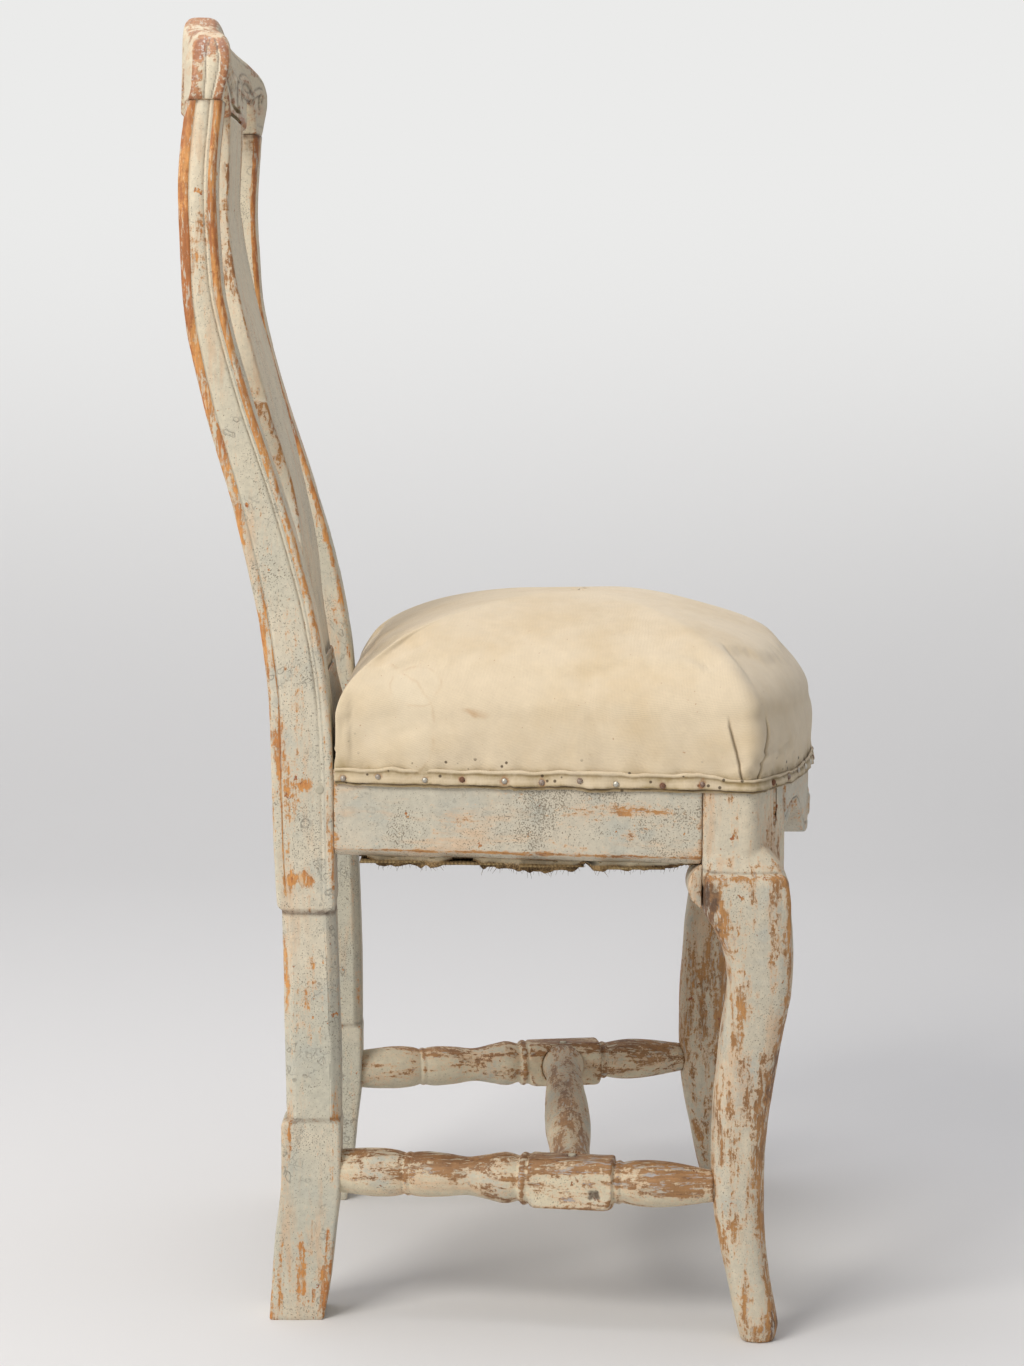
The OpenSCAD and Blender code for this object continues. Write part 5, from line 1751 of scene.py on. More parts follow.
@dataclass
class Hem:
    """The cover's doubled lower edge: a folded strip, nailed down, with a ragged raw edge."""

    seat: Seat
    calico: Material
    tacks: Array
    step: float = 1.5 * MM
    bulge_y: float = -142 * MM
    # Rows of outward lift in millimetres, share of the puff, drop down the strip, painted fold shade and dirt
    profile: Rows = (
        (-0.25, 0.0, 0.0, 0.0, 0.2), (0.35, 0.0, 0.12, 0.0, 0.35), (0.8, 0.4, 0.09, 0.0, 0.2),
        (1.0, 0.7, -0.03, 0.05, 0.4), (0.45, 0.7, -0.13, 0.4, 0.8), (0.6, 1.0, -0.25, 0.1, 0.55),
        (0.8, 1.1, -0.48, 0.0, 0.35), (0.9, 1.3, -0.66, 0.0, 0.45), (0.8, 1.4, -0.77, 0.1, 0.7),
        (0.3, 0.6, -0.82, 0.6, 1.0), (0.1, 0.1, -0.84, 0.9, 1.0), (0.4, 0.1, -0.87, 0.8, 1.0),
        (0.55, 0.1, -1.0, 0.1, 0.7), (-0.1, 0.1, -1.0, 0.6, 1.0), (-0.2, 0.0, -0.7, 0.6, 1.0),
        (-0.3, 0.0, -0.35, 0.6, 1.0),
    )

    def run(self) -> tuple[Array, Array, Array]:
        """Lays the strip's line round the rails.

        Returns:
            Places along the line, its points, and the outward direction at each.
        """
        node = self.seat.nodes["cover_hem"]
        cuts = Slices(node)
        found = cuts.cut(2, (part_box(node.name)[0].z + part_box(node.name)[1].z) / 2)[:, :2]
        middle = self.seat.middle
        angle = np.arctan2(found[:, 0] - middle[0], -(found[:, 1] - middle[1]))
        far = np.linalg.norm(found - middle, axis=1)
        order = np.argsort(angle)
        keep: list[int] = []
        for i in order:
            if keep and abs(angle[i] - angle[keep[-1]]) < 0.006:
                if far[i] > far[keep[-1]]:
                    keep[-1] = int(i)
            else:
                keep.append(int(i))
        line = found[keep]
        steps = np.concatenate([[0], np.cumsum(np.linalg.norm(np.diff(line, axis=0), axis=1))])
        at = np.linspace(0, steps[-1], int(steps[-1] / self.step))
        spots = np.stack([relax_line(np.interp(at, steps, line[:, k]), 3) for k in (0, 1)], 1)
        way = np.gradient(spots, axis=0)
        way /= np.linalg.norm(way, axis=1)[:, None]
        out = np.stack([way[:, 1], -way[:, 0]], 1)
        if (out * (spots - middle)).sum() < 0:
            out = -out
        return at, spots, out

    def build(self) -> Object:
        """Sews the hem.

        Returns:
            The finished piece.
        """
        node = self.seat.nodes["cover_hem"]
        low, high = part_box(node.name)[0].z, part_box(node.name)[1].z
        at, line, out = self.run()
        along = places(at)
        nearest = np.linalg.norm(line[:, None, :] - self.tacks[None, :, :2], axis=2).min(axis=1)
        slack = 1 - hump(nearest, 6 * MM)
        flap = np.exp(-(((line[:, 1] - self.bulge_y) / (9 * MM)) ** 4)) * (line[:, 0] < 0)
        puff = (0.1 + slack * (1.3 + 1.1 * lumps(along, 15, 3)) + 2.4 * flap) * MM
        ragged = (0.8 * lumps(along, 3.5, 8) + 1.5 * lumps(along, 22, 9)) * MM
        foot = low - 0.2 * MM - np.clip(ragged, -1.8 * MM, 2.2 * MM)
        head = high + (0.7 + 2.0 * lumps(along, 36, 5) + 1.0 * lumps(along, 11, 6) + 1.5 * flap) * MM
        head -= 3 * MM * smooth(-line[:, 1], 0.158, 0.172)
        keys = np.array(self.profile)
        ring = np.linspace(0, len(keys) - 1, 2 * len(keys) - 1)
        lift, share, drop, dark, soil = (np.interp(ring, np.arange(len(keys)), keys[:, k]) for k in range(5))
        away = lift[None, :] * MM + share[None, :] * puff[:, None]
        z = head[:, None] + drop[None, :] * (head - foot)[:, None]
        flat = line[:, None, :] + out[:, None, :] * away[:, :, None]
        spots = np.concatenate([flat, z[:, :, None]], 2).reshape(-1, 3)
        spots += 0.25 * MM * np.stack([lumps(spots, 5, s) for s in (1, 2, 3)], 1)
        mesh = mesh_from("cover_hem_worked", less_bowed(spots), ring_faces(len(at), len(ring)))
        if outward(mesh) < 0:
            mesh.flip_normals()
        flat_map(mesh, np.stack([np.repeat(at, len(ring)), spots[:, 2]], 1))
        rust = np.linalg.norm(spots[:, None, :] - self.tacks[None, :, :], axis=2).min(axis=1)
        dirty = 1.15 + 0.4 * lumps(spots, 18, 6) + 0.5 * smooth(-spots[:, 1], 0.15, 0.18)
        rusty = hump(rust, 4.6 * MM) * (0.55 + 0.45 * lumps(spots, 40, 2))
        grime = np.clip(np.tile(soil, len(at)) * dirty, 0, 1)
        # The edge value carries the painted shade along the folds and under the strip
        store(mesh, grime=grime, edge=np.tile(dark, len(at)), wear=rusty)
        return finish_piece(mesh, "cover_hem_sewn", ("cover_hem",), self.calico)


def rail_inside(node: Object, x: float) -> float:
    """Where the front rail's inner face is, at a place across the chair."""
    return float(skin_of(node).ray_cast(Vector((x, 0, 0.425)), Vector((0, -1, 0)))[0].y)


def drawn_up(behind: Array | float) -> Array:
    """How far the webbing and hessian are drawn up at a distance behind the apron's inner face."""
    return DRAW * (1 - smooth(np.asarray(behind, float), 4 * MM, 34 * MM))


def outward(mesh: Mesh) -> float:
    """Signed volume of a closed mesh: above zero when its faces point outwards."""
    mesh.calc_loop_triangles()
    corner = np.zeros(len(mesh.loop_triangles) * 3, np.int32)
    mesh.loop_triangles.foreach_get("vertices", corner)
    a, b, c = points_of(mesh)[corner].reshape(-1, 3, 3).transpose(1, 0, 2)
    return float(np.einsum("ij,ij->i", a, np.cross(b, c)).sum() / 6)


def scatter_tree(name: str) -> Tree:
    """Makes the tree that sets one small shape at each point of a mesh.

    Its inputs are the shape, the finish, the size and the spread of turns; the points carry the
    direction they face as "axis" and their own size as "size".

    Args:
        name: name of the tree.

    Returns:
        The node tree.
    """
    tree = bpy.data.node_groups.new(name, "GeometryNodeTree")
    ports = {"Points": "Geometry", "Shape": "Object", "Finish": "Material", "Tilt": "Float", "Seed": "Int"}
    for port, kind in ports.items():
        tree.interface.new_socket(port, in_out="INPUT", socket_type=f"NodeSocket{kind}")
    tree.interface.new_socket("Geometry", in_out="OUTPUT", socket_type="NodeSocketGeometry")
    group = tree.nodes.new("NodeGroupInput")
    points, shape, finish, tilt, seed = (group.outputs[i] for i in range(5))
    axis = put(tree, "GeometryNodeInputNamedAttribute", {"Name": "axis"}, data_type="FLOAT_VECTOR")
    size = put(tree, "GeometryNodeInputNamedAttribute", {"Name": "size"}, data_type="FLOAT")
    less = put(tree, MATH, {0: tilt, 1: -1.0}, operation="MULTIPLY")
    low = put(tree, "ShaderNodeCombineXYZ", {0: less, 1: less, 2: -math.pi})
    high = put(tree, "ShaderNodeCombineXYZ", {0: tilt, 1: tilt, 2: math.pi})
    turn = put(tree, "FunctionNodeRandomValue", {"Min": low, "Max": high, "Seed": seed}, data_type="FLOAT_VECTOR")
    stand = put(tree, "FunctionNodeAlignRotationToVector", {"Vector": axis}, axis="Z")
    spin = put(tree, "FunctionNodeEulerToRotation", {0: turn})
    turned = put(tree, "FunctionNodeRotateRotation", {0: stand, 1: spin}, rotation_space="LOCAL")
    info = tree.nodes.new("GeometryNodeObjectInfo")
    tree.links.new(shape, info.inputs["Object"])
    placed = put(
        tree, "GeometryNodeInstanceOnPoints",
        {"Points": points, "Instance": info.outputs["Geometry"], "Rotation": turned, "Scale": size},
    )
    solid = put(tree, "GeometryNodeRealizeInstances", {0: placed})
    dressed = put(tree, "GeometryNodeSetMaterial", {"Geometry": solid, "Material": finish})
    put(tree, "NodeGroupOutput", {0: dressed})
    return tree


@dataclass
class Scatter:
    """Sets a small shape at many places, each facing its own way."""

    name: str
    shape: Mesh
    finish: Material
    tilt: float = 0.0
    seed: int = 7

    def mesh(self, spots: Array, ways: Array, sizes: Array) -> Mesh:
        """Runs the tree and hands back its plain mesh.

        Args:
            spots: where each shape goes.
            ways: which way each one faces.
            sizes: scale of each one.

        Returns:
            The mesh.
        """
        points = bpy.data.meshes.new(f"{self.name}_points")
        points.from_pydata([tuple(p) for p in spots], [], [])
        facing = points.attributes.new("axis", "FLOAT_VECTOR", "POINT")
        facing.data.foreach_set("vector", np.ascontiguousarray(ways, np.float32).ravel())
        store(points, size=sizes)
        pattern = show(f"{self.name}_shape", self.shape)
        made = show(self.name, points)
        tree = scatter_tree(f"{self.name}_tree")
        step = made.modifiers.new("scatter", "NODES")
        step.node_group = tree
        named = {s.name: s.identifier for s in tree.interface.items_tree if s.in_out == "INPUT"}
        for port, value in (("Shape", pattern), ("Finish", self.finish), ("Tilt", self.tilt), ("Seed", self.seed)):
            step[named[port]] = value
        mesh = settled(made)
        bpy.data.objects.remove(pattern)
        for lost in ("axis", "size"):
            if lost in mesh.attributes:
                mesh.attributes.remove(mesh.attributes[lost])
        return mesh


def lathed(name: str, profile: Profile, sides: int) -> Mesh:
    """Turns a profile, the radius and height of each ring in millimetres from the bottom up, about Z."""
    turn = np.linspace(0, 2 * math.pi, sides + 1)[:-1]
    rings = [places(r * np.cos(turn), r * np.sin(turn), z) for r, z in profile]
    return mesh_from(name, np.concatenate(rings) * MM, ring_faces(len(profile), sides))


def hair(name: str, length: float, width: float, seed: int) -> Mesh:
    """A short, bent, three-sided thread along Z."""
    t = np.linspace(0, 1, 6)
    drift = places(seed, t)
    bend = np.stack([lumps(drift, 600, seed), lumps(drift, 600, seed + 3)], 1) * length * 0.45 * t[:, None] ** 1.3
    turn = np.linspace(0, 2 * math.pi, 4)[:-1]
    rings = []
    for (x, y), share in zip(bend, t):
        r = width * (1 - 0.7 * share)
        rings.append(places(x + r * np.cos(turn), y + r * np.sin(turn), share * length))
    return mesh_from(name, np.concatenate(rings) * MM, ring_faces(6, 3))


@dataclass
class Nails:
    """Small iron nails: domed cover tacks in the hem, and flat webbing tacks under the rails."""

    nodes: dict
    iron: Material
    dome: Profile = ((0.5, -9), (0.9, -1.4), (2.1, -1.35), (2.35, -0.9), (2.05, -0.2), (1.3, 0.35), (0.4, 0.55))
    flat: Profile = ((0.4, -11), (0.9, -1.0), (3.3, -0.95), (3.5, -0.6), (3.1, -0.2), (1.2, 0.0), (0.3, 0.05))

    def found(self, node: Object) -> tuple[Array, Array]:
        """Finds each nail of a frame node.

        Args:
            node: node with the nails.

        Returns:
            The middle of each nail's head top, and the way it faces.
        """
        heads, ways = [], []
        for group in solids_of(node):
            middle = group.mean(axis=0)
            tip = group[np.argmax(np.linalg.norm(group - middle, axis=1))]
            way = (middle - tip) / np.linalg.norm(middle - tip)
            heads.append(tip + way * ((group - tip) @ way).max())
            ways.append(way)
        return np.array(heads), np.array(ways)

    def hem_places(self) -> tuple[Array, Array]:
        """Heads of the hem's tacks, driven unevenly by hand, and the way each one faces."""
        heads, ways = self.found(self.nodes["cover_tacks"])
        aside = places(-ways[:, 1], ways[:, 0])
        heads = heads + aside * (7 * MM * lumps(heads, 26, 5))[:, None]
        heads[:, 2] += 1.6 * MM * lumps(heads, 12, 6)
        return heads, ways

    def cover_tacks(self) -> Object:
        """Drives the domed tacks of the hem."""
        heads, ways = self.hem_places()
        dome = lathed("tack", self.dome, 16)
        sizes = 1 + 0.1 * lumps(heads, 20, 4)
        scatter = Scatter("cover_tacks_domed", dome, self.iron, tilt=0.12)
        mesh = scatter.mesh(less_bowed(heads + ways * 1.0 * MM), ways, sizes)
        return finish_piece(mesh, "cover_tacks_domed", ("cover_tacks",), self.iron)

    def webbing_tacks(self) -> Object:
        """Drives the flat tacks that hold the webbing."""
        heads, ways = self.found(self.nodes["webbing_tacks"])
        rail = self.nodes["front_rail"]
        for k in np.where(heads[:, 1] < -0.19)[0]:
            heads[k, 1:] = rail_inside(rail, heads[k, 0]) + 2.6 * MM, heads[k, 2] + 30 * MM
            ways[k] = (0, 1, 0)
        flat = lathed("flat_tack", self.flat, 16)
        scatter = Scatter("webbing_tacks_flat", flat, self.iron, tilt=0.08, seed=3)
        mesh = scatter.mesh(heads, ways, np.ones(len(heads)))
        return finish_piece(mesh, "webbing_tacks_flat", ("webbing_tacks",), self.iron)


@dataclass
class Underside:
    """Hessian and webbing nailed under the rails, torn and frayed."""

    nodes: dict
    hessian: Material
    webbing: Material
    thread: Material
    mesh_size: float = 5 * MM
    turned_points: int = 61
    turn_up: Profile = ((7, 0.0), (1.5, 0.0), (0.8, 2), *((0.8, z) for z in range(6, 43, 6)))
    rags: Rows = ((107, 40, 12, 10), (24, -62, 12, 12), (-60, -144, 13, 3))

    def cloth(self) -> Object:
        """Stretches the hessian under the frame."""
        node, rail = self.nodes["base_cloth"], self.nodes["front_rail"]
        lo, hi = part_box(node.name)
        tree = skin_of(node)
        nx, ny = int((hi.x - lo.x) / self.mesh_size), int((hi.y - lo.y) / self.mesh_size)
        xs, ys = np.linspace(lo.x, hi.x, nx + 1), np.linspace(lo.y, hi.y, ny + 1)
        gx, gy = np.meshgrid(xs, ys, indexing="ij")
        flat = places(gx.ravel(), gy.ravel())
        z = hi.z - 0.9 * MM + 0.25 * MM * lumps(flat, 22, 3)
        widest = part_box("front_rail")[1].x - 2 * MM
        edge = [rail_inside(rail, x) if abs(x) < widest else -1.0 for x in xs]
        apron = np.repeat([rail_inside(rail, float(np.clip(x, -widest, widest))) for x in xs], ny + 1)
        points = np.column_stack([flat[:, :2], z + drawn_up(flat[:, 1] - apron)])
        quads = []
        for i, j in itertools.product(range(nx), range(ny)):
            x, y = (xs[i] + xs[i + 1]) / 2, (ys[j] + ys[j + 1]) / 2
            hit = tree.ray_cast(Vector((x, y, lo.z - 0.05)), Vector((0, 0, 1)))[0]
            torn = lumps(np.array([[x + 0.3, y, 0.2]]), 30, 12)[0] > 0.62
            if hit is not None and not torn and y >= min(edge[i], edge[i + 1]) + 2 * MM:
                a = i * (ny + 1) + j
                quads.append((a, a + 1, a + ny + 2, a + ny + 1))
        used = sorted({k for q in quads for k in q})
        place = {k: n for n, k in enumerate(used)}
        quads = [tuple(place[k] for k in q) for q in quads]
        # Its front edge is turned up behind the apron
        across = np.linspace(-widest, widest, self.turned_points)
        inside = np.array([rail_inside(rail, x) for x in across])
        base = z.mean() - 0.3 * MM + DRAW
        turned = [places(across, inside + y * MM, base + up * MM) for y, up in self.turn_up]
        quads += open_faces(len(turned), len(across), len(used))
        mesh = mesh_from("base_cloth_worked", np.vstack([points[used], *turned]), quads)
        mesh = thickened("base_cloth_wall", mesh, 0.7)
        piece = finish_piece(mesh, "base_cloth_hessian", ("base_cloth",), self.hessian)
        return piece

    def straps(self, name: str, along: int) -> Object:
        """Weaves the straps that run one way.

        Args:
            name: the frame node.
            along: 0 for straps across the seat, 1 for straps from front to back.

        Returns:
            The finished piece.
        """
        node = self.nodes[name]
        across = 1 - along
        lo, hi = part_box(node.name)
        level = (lo.z + hi.z) / 2
        rail = self.nodes["front_rail"]
        every, faces, total, width = [], [], 0.0, 0.0
        for strap in solids_of(node):
            a, b = strap[:, across].min(), strap[:, across].max()
            start, end = strap[:, along].min(), strap[:, along].max()
            if along:
                start = rail_inside(rail, (a + b) / 2) + 1 * MM
            count = max(int((end - start) / (3 * MM)), 4)
            t = np.linspace(start, end, count)
            up = (drawn_up(t - start) if along else 0.0) + 0 * t
            if along:
                up = np.append((40 * MM, 30 * MM, 20 * MM, 12 * MM), up)
                t, count = np.append([start - 0.2 * MM] * 4, t), count + 4
            base = sum(len(e) for e in every)
            rows = []
            for k, u in enumerate(np.linspace(a + 1.2 * MM, b - 1.2 * MM, 12)):
                edge = 0.5 * MM if k in (0, 11) else 0.0
                wave = 0.25 * MM * np.sin(t / (38 * MM)) + 0.2 * MM * lumps(places(t, u), 15, 6)
                row = np.zeros((count, 3))
                row[:, along] = t
                row[:, across] = u + 0.6 * MM * lumps(places(t), 30, 8)
                row[:, 2] = level + wave - edge * 0.2 + up
                rows.append(row)
            every.append(np.concatenate(rows))
            faces += open_faces(len(rows), count, base)
            total += (end - start) * (b - a)
            width += b - a
        mesh = mesh_from(f"{name}_worked", np.concatenate(every), faces)
        mesh = thickened(f"{name}_wall", mesh, 1.2)
        piece = finish_piece(mesh, f"{name}_woven", (name,), self.webbing)
        return piece

    def fringe(self, side: Side) -> Object:
        """Hangs the torn turned-up edge of the hessian below a side rail.

        Args:
            side: which rail.

        Returns:
            The finished piece.
        """
        rail = self.nodes[f"side_rail_{side.word}"]
        cuts = Slices(rail)
        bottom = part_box(rail.name)[0].z
        every, faces, tips, shades, holes = [], [], [], [], []
        for order, (start, end, deep, shallow) in enumerate(self.rags):
            ys = np.arange(end, start, 1.3) * MM
            outer = np.array([cuts.span(1, y, 0, side.out)[1] for y in ys]) - 8 * MM
            line = places(ys, order + side.out)
            ends = smooth(ys, ys[0], ys[0] + 0.01) * (1 - smooth(ys, ys[-1] - 0.01, ys[-1]))
            drop = np.interp(ys, (ys[0], ys[-1]), (shallow, deep))
            fall = drop * (0.8 + 0.3 * lumps(line, 17, 5)) + np.minimum(drop, 8) * 0.22 * lumps(line, 4, 6)
            fall = np.clip(fall * MM * (0.3 + 0.7 * ends), 1.2 * MM, 13.5 * MM)
            base = sum(len(e) for e in every)
            levels = 9
            for k in range(levels):
                t = k / (levels - 1)
                at = places(ys, t * 0.012 + order)
                x = outer + (2.2 * lumps(at, 11, 9) + 0.8 * lumps(at, 3, 4)) * MM * (0.3 + 0.7 * t)
                every.append(np.stack([side.out * x, ys, bottom + 0.8 * MM - fall * t], 1))
                shades.append(np.full(len(ys), (1 - smooth(t, 0.3, 0.65)) * (0.6 + 0.4 * (order == 2))))
                # Painted shade of a tear in the third rag: a dark patch, carried as wear
                holes.append((order == 2) * np.exp(-(((ys + 61 * MM) / (12 * MM)) ** 4) - ((t - 0.3) / 0.25) ** 4))
            faces += open_faces(levels, len(ys), base)
            tips.append(every[-1][::2])
        mesh = mesh_from("rag_worked", np.concatenate(every), faces)
        store(mesh, grime=np.concatenate(shades), wear=np.concatenate(holes))
        cloth = thickened("rag_wall", mesh, 2.0)
        piece = finish_piece(cloth, f"hessian_rag_{side.word}", (), self.thread)
        self.loose(np.concatenate(tips), side)
        return piece

    def loose(self, tips: Array, side: Side) -> Object:
        """Frays threads out of the rag's lower edge."""
        ways = places(0.35 * lumps(tips, 5, 3) - 0.1 * side.out, 0.8 * lumps(tips, 4, 4), -1.0)
        ways /= np.linalg.norm(ways, axis=1)[:, None]
        sizes = 0.5 + 0.5 * np.abs(lumps(tips, 3, 5))
        scatter = Scatter(f"rag_threads_{side.word}", hair("rag_hair", 7, 0.33, 2), self.thread, tilt=0.5)
        mesh = scatter.mesh(tips + np.array([0, 0, 0.8 * MM]), ways, sizes)
        return finish_piece(mesh, f"rag_threads_{side.word}", (), self.thread)


@dataclass
class Pegs:
    """The turned ends of the joint pegs, worn flush."""

    nodes: dict
    wood: Material

    def build(self) -> Object:
        """Dresses the pegs."""
        mesh = remeshed(self.nodes["joint_pegs"], "joint_pegs_worked", 0.6 * MM, 1)
        push_out(mesh, 0.12 * MM * lumps(points_of(mesh), 2, 3))
        return finish_piece(mesh, "joint_pegs_cut", ("joint_pegs",), self.wood)


@dataclass(frozen=True)
class StudioPaper(Finish):
    """Matt white background paper: greyer underfoot as painted shade, and lost in the white air far away."""

    floor: str = "E4E3E2"
    wall: str = "F9F8F6"
    air: str = "EBEBEA"

    def surface(self, t: Tree, spot: Socket) -> Socket:
        """Draws the paper."""
        height = put(t, "ShaderNodeSeparateXYZ", {0: spot}, 2)
        # Painted shade: the same paper, greyer on the floor than up the wall
        colour = blend(t, ramp(t, height, 0.02, 1.3), self.floor, self.wall)
        away = put(t, "ShaderNodeVectorMath", {0: spot}, 1, operation="LENGTH")
        seen = calc(t, "MAXIMUM", ramp(t, away, 2.3, 4.6), ramp(t, height, 0.0, 1.15))
        seen = times(t, seen, t.nodes.new("ShaderNodeLightPath").outputs["Is Camera Ray"])
        far = put(t, "ShaderNodeEmission", {"Color": linear(self.air), "Strength": 1.0})
        return put(t, "ShaderNodeMixShader", {0: seen, 1: shader(t, colour, 0.95), 2: far})


@dataclass
class Studio:
    """Pale paper sweep, soft light from the back left of the photograph, and the camera."""

    paper: Material
    reach: float = 6.0
    rise: float = 4.5
    bend: float = 1.4
    eye: tuple[float, float, float] = (-2.466, -0.003, 0.7485)
    down: float = 6.07
    pan: float = -90.077
    lens: float = 78.06

    def sweep(self) -> None:
        """Rolls the paper out under the chair and up behind it."""
        turn = np.linspace(-math.pi / 2, 0, 25)
        profile = [(-self.reach, 0.0), (-1.2, 0.0), (0.0, 0.0), (1.2, 0.0)]
        profile += [(1.9 + self.bend * math.cos(a), self.bend + self.bend * math.sin(a)) for a in turn]
        profile += [(1.9 + self.bend, self.rise)]
        spots = [(x, y, z) for x, z in profile for y in (-self.reach, self.reach)]
        faces = [(2 * i, 2 * i + 2, 2 * i + 3, 2 * i + 1) for i in range(len(profile) - 1)]
        mesh = mesh_from("paper_sweep", np.array(spots), faces)
        mesh.materials.append(self.paper)
        mesh.polygons.foreach_set("use_smooth", [True] * len(mesh.polygons))
        if mesh.polygons[0].normal.z < 0:
            mesh.flip_normals()
        show("paper_sweep", mesh)

    def lamp(self, name: str, at: tuple[float, float, float], size: float, power: float, tint: str) -> None:
        """Hangs a square soft lamp that faces the chair.

        Args:
            name: name of the lamp.
            at: where it hangs.
            size: its side.
            power: watts.
            tint: its colour.
        """
        light = bpy.data.lights.new(name, "AREA")
        light.size = size
        light.energy = power
        light.color = linear(tint)[:3]
        made = bpy.data.objects.new(name, light)
        made.location = at
        made.rotation_euler = (Vector((0, 0, 0.5)) - Vector(at)).to_track_quat("-Z", "Y").to_euler()
        bpy.context.scene.collection.objects.link(made)

    def build(self) -> None:
        """Sets up the paper, lamps, sky and camera."""
        self.sweep()
        self.lamp("window", (-2.3, 2.0, 2.5), 1.6, 80.0, "FFFBF5")
        self.lamp("ceiling", (0.2, 0.4, 3.4), 2.2, 38.0, "FBFAFF")
        world = bpy.data.worlds.new("studio_air")
        bpy.context.scene.world = world
        world.use_nodes = True
        tree = world.node_tree
        tree.nodes.clear()
        sky = put(tree, "ShaderNodeBackground", {"Color": linear("EDEFF3"), "Strength": 0.44})
        seen = put(tree, "ShaderNodeBackground", {"Color": linear("EBEBEA"), "Strength": 1.0})
        ray = tree.nodes.new("ShaderNodeLightPath").outputs
        direct = calc(tree, "MAXIMUM", ray["Is Camera Ray"], ray["Is Glossy Ray"])
        direct = calc(tree, "MAXIMUM", direct, ray["Is Transmission Ray"])
        mixed = put(tree, "ShaderNodeMixShader", {0: direct, 1: sky, 2: seen})
        put(tree, "ShaderNodeOutputWorld", {"Surface": mixed})
        camera = bpy.data.cameras.new("camera")
        camera.sensor_fit = "VERTICAL"
        camera.sensor_height = 36
        camera.lens = self.lens
        made = bpy.data.objects.new("camera", camera)
        made.location = self.eye
        made.rotation_euler = (math.radians(90 - self.down), 0, math.radians(self.pan))
        bpy.context.scene.collection.objects.link(made)
        bpy.context.scene.camera = made
        bpy.context.scene.view_settings.view_transform = "Standard"


# Worn places of the near side, as the photograph shows them, in millimetres
KNEE = rows_of(
    (-237, -165, 338, 20, 10, 14, 0.3), (-237, -173, 315, 20, 5, 14, 0.34),
    (-237, -172, 292, 20, 4, 9, 0.3), (-235, -192, 277, 16, 11, 8, 0.7),
    (-240, -151, 343, 30, 10, 20, 0.9), (-238, -167, 328, 24, 9, 15, 0.8),
    (-232, -206, 305, 16, 7, 34, 0.6), (-234, -200, 345, 16, 12, 14, 0.35),
    (-232, -203, 290, 16, 6, 30, 0.36), (-232, -203, 235, 14, 9, 45, 0.22),
    (-236, -212, 20, 30, 16, 20, 0.25), (-237, -191, 307, 20, 8, 18, -0.45),
    (-237, -180, 405, 60, 50, 34, -0.1), (-237, -185, 180, 60, 60, 90, 0.05),
)
GNARL = Mark((-245, -156, 351), (34, 8, 13), 0.6)
RAIL_MARKS = rows_of(
    (-233, -103, 412, 8, 34, 2.6, 0.5), (-229, -50, 412, 8, 25, 3, 0.22),
    (-205, 60, 400, 8, 60, 20, 0.03),
)
STEPS = rows_of(
    (-194, 30, 126, 40, 42, 20, 0.2), (-203, -53, 136, 30, 40, 6, 0.3),
    (-214, -125, 126, 40, 40, 20, 0.2),
)
PEG_HOLE = Mark((-220, -69, 111), (8, 3.2, 3), 1.0)


def paints() -> dict[str, Material]:
    """Builds the paint of each kind of piece, by its name.

    Returns:
        The materials.
    """
    turned = {"bare": "A57A4E", "rubbed": "785438"}
    made = (
        PaintedWood(
            "paint_posts", Grain.UPRIGHT, coat="C9C4B1", cool="BDBCAF", bare="D69654", rubbed="B06D3A", ash="E3BE8E",
            dirt="57402F", rings=0.7, cream_from=0.5, bias=-0.05,
        ),
        PaintedWood("paint_splat", Grain.UPRIGHT, coat="CFC7B4", cool="BDBAAD", bias=-0.07, cream_from=0.5),
        PaintedWood(
            "paint_crest", Grain.ACROSS, coat="D3C8AF", cloud="E2D5B8", cool="C0BBAC", bare="BB8459", rubbed="9E6743",
            dirt="665649", bias=-0.03, gloss=0.12, cream_from=0.7, speckle=0.6,
        ),
        PaintedWood(
            "paint_side_rails", Grain.DEPTH, coat="C9C2AF", cloud="CFC4AF", cool="B9B8AB", bias=-0.06, speckle=1.9,
            rings=0.3,
        ),
        PaintedWood("paint_front_rail", Grain.ACROSS, coat="C8C2B1", cloud="D0C7B4", bias=-0.08),
        PaintedWood(
            "paint_legs", Grain.UPRIGHT, coat="CDC4AF", cloud="DACDB4", bias=0.07, rings=0.25, bare="B9864F",
            rubbed="7C5A3E", dirt="4A3626", speckle=0.6,
        ),
        PaintedWood(
            "paint_stretchers", Grain.DEPTH, coat="D0C5AC", cloud="DDD0B3", chip="8A5238", ash="B4B4B4", bias=0.04,
            speckle=0.6, **turned,
        ),
        PaintedWood(
            "paint_cross_stretcher", Grain.ACROSS, coat="CBBFA8", cloud="D8CBB0", ash="C5C1BA", bias=0.06, **turned
        ),
    )
    return {finish.name.removeprefix("paint_"): finish.build() for finish in made}


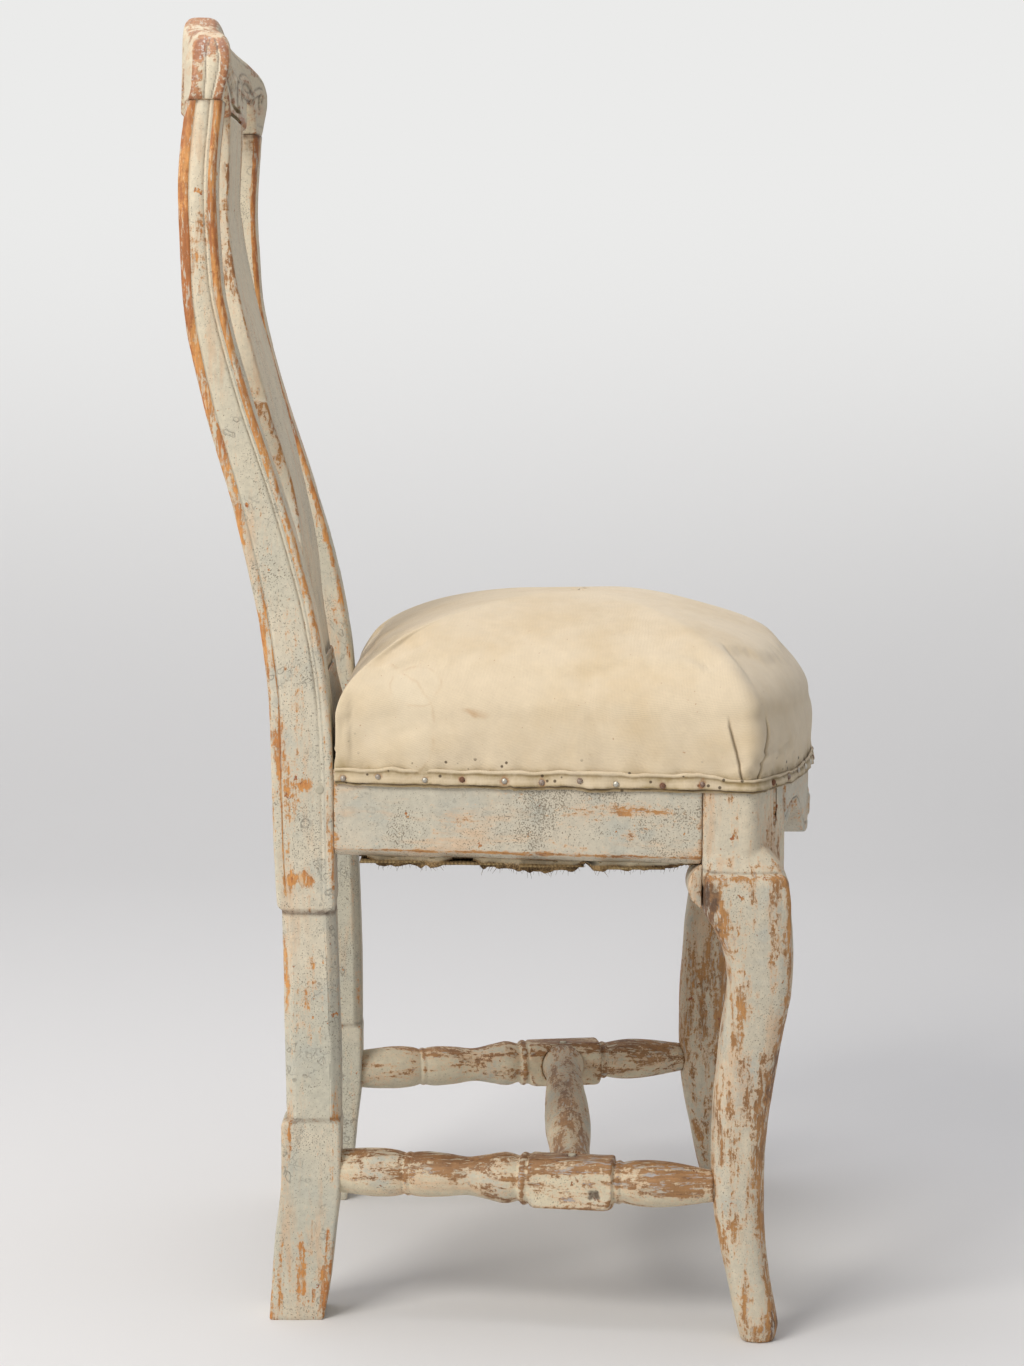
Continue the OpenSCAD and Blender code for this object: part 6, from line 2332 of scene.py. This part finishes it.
def carve_wood(nodes: dict) -> None:
    """Carves and paints every wooden piece.

    Args:
        nodes: the frame's objects, by name.
    """
    paint = paints()
    for side in Side:
        BackLegs(nodes, paint["posts"]).build(side)
    Splat(nodes, paint["splat"]).build()
    Crest(nodes, paint["crest"]).build()
    front = paint["front_rail"]
    CarvedPiece(nodes, front, "splat_shoe", seed=43).build()
    CarvedPiece(nodes, front, "rear_rail", seed=47, voxel=2.6 * MM).build()
    FrontRail(nodes, front, voxel=1.7 * MM, seed=53).build()
    for side in Side:

        def there(*marks: Mark, by: float = 1.0) -> tuple[Mark, ...]:
            """Marks of the near side, carried to this side."""
            return tuple(Mark((m.at[0] * -side.out, *m.at[1:]), m.reach, m.strength * by) for m in marks)

        FrontLeg(
            nodes, paint["legs"], f"front_leg_{side.word}", voxel=1.5 * MM, seed=61 + side.out, side=side, fore=0.24,
            marks=there(*KNEE), bites=there(GNARL, by=2.6), soot=there(GNARL, by=1.5),
        ).build()
        CarvedPiece(
            nodes, paint["legs"], f"ear_{side.word}", voxel=1.3 * MM, seed=67 + side.out, marks=there(GNARL, by=0.3),
            bites=there(GNARL, by=1.0), soot=there(GNARL),
        ).build()
        SideRail(
            nodes, paint["side_rails"], f"side_rail_{side.word}", voxel=2.0 * MM, seed=71 + side.out, side=side,
            marks=there(*RAIL_MARKS),
        ).build()
        CarvedPiece(
            nodes, paint["stretchers"], f"side_stretcher_{side.word}", voxel=1.1 * MM, seed=73 + side.out, rounds=1,
            trodden=0.12, marks=there(*STEPS), bites=there(PEG_HOLE, by=3.0), soot=there(PEG_HOLE), sharp=0.5 * MM,
        ).build()
    CarvedPiece(
        nodes, paint["cross_stretcher"], "cross_stretcher", voxel=1.2 * MM, seed=79, trodden=0.16, sharp=0.5 * MM,
        rounds=1,
    ).build()
    Pegs(nodes, PlainMatt("peg_painted_over", "A99F87", "CCC6B4", 300.0).build()).build()


def upholster(nodes: dict) -> None:
    """Sews, nails and webs the seat.

    Args:
        nodes: the frame's objects, by name.
    """
    calico = Calico("calico_cotton").build()
    iron = TackIron("tack_iron").build()
    seat = Seat(nodes, calico, Jute("straw_and_hair", pale="B79A5E", dark="5B4726", cloth=False).build())
    seat.cover()
    seat.pad()
    nails = Nails(nodes, iron)
    Hem(seat, calico, nails.hem_places()[0]).build()
    nails.cover_tacks()
    nails.webbing_tacks()
    hessian = Jute("jute_hessian").build()
    webbing = Jute("jute_webbing", pale="A58F66", dark="695235", pitch=3.2 * MM).build()
    thread = Jute("jute_threads", pale="A0845C", dark="4A3826", cloth=False).build()
    under = Underside(nodes, hessian, webbing, thread)
    under.cloth()
    under.straps("webbing_long", 1)
    under.straps("webbing_cross", 0)
    for side in Side:
        under.fringe(side)


def main() -> None:
    """Builds the chair piece by piece, then the studio."""
    logging.basicConfig(level=logging.INFO, format="%(message)s")
    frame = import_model()
    carve_wood(frame["nodes"])
    upholster(frame["nodes"])
    Studio(StudioPaper("studio_paper").build()).build()


if __name__ == "__main__":
    main()
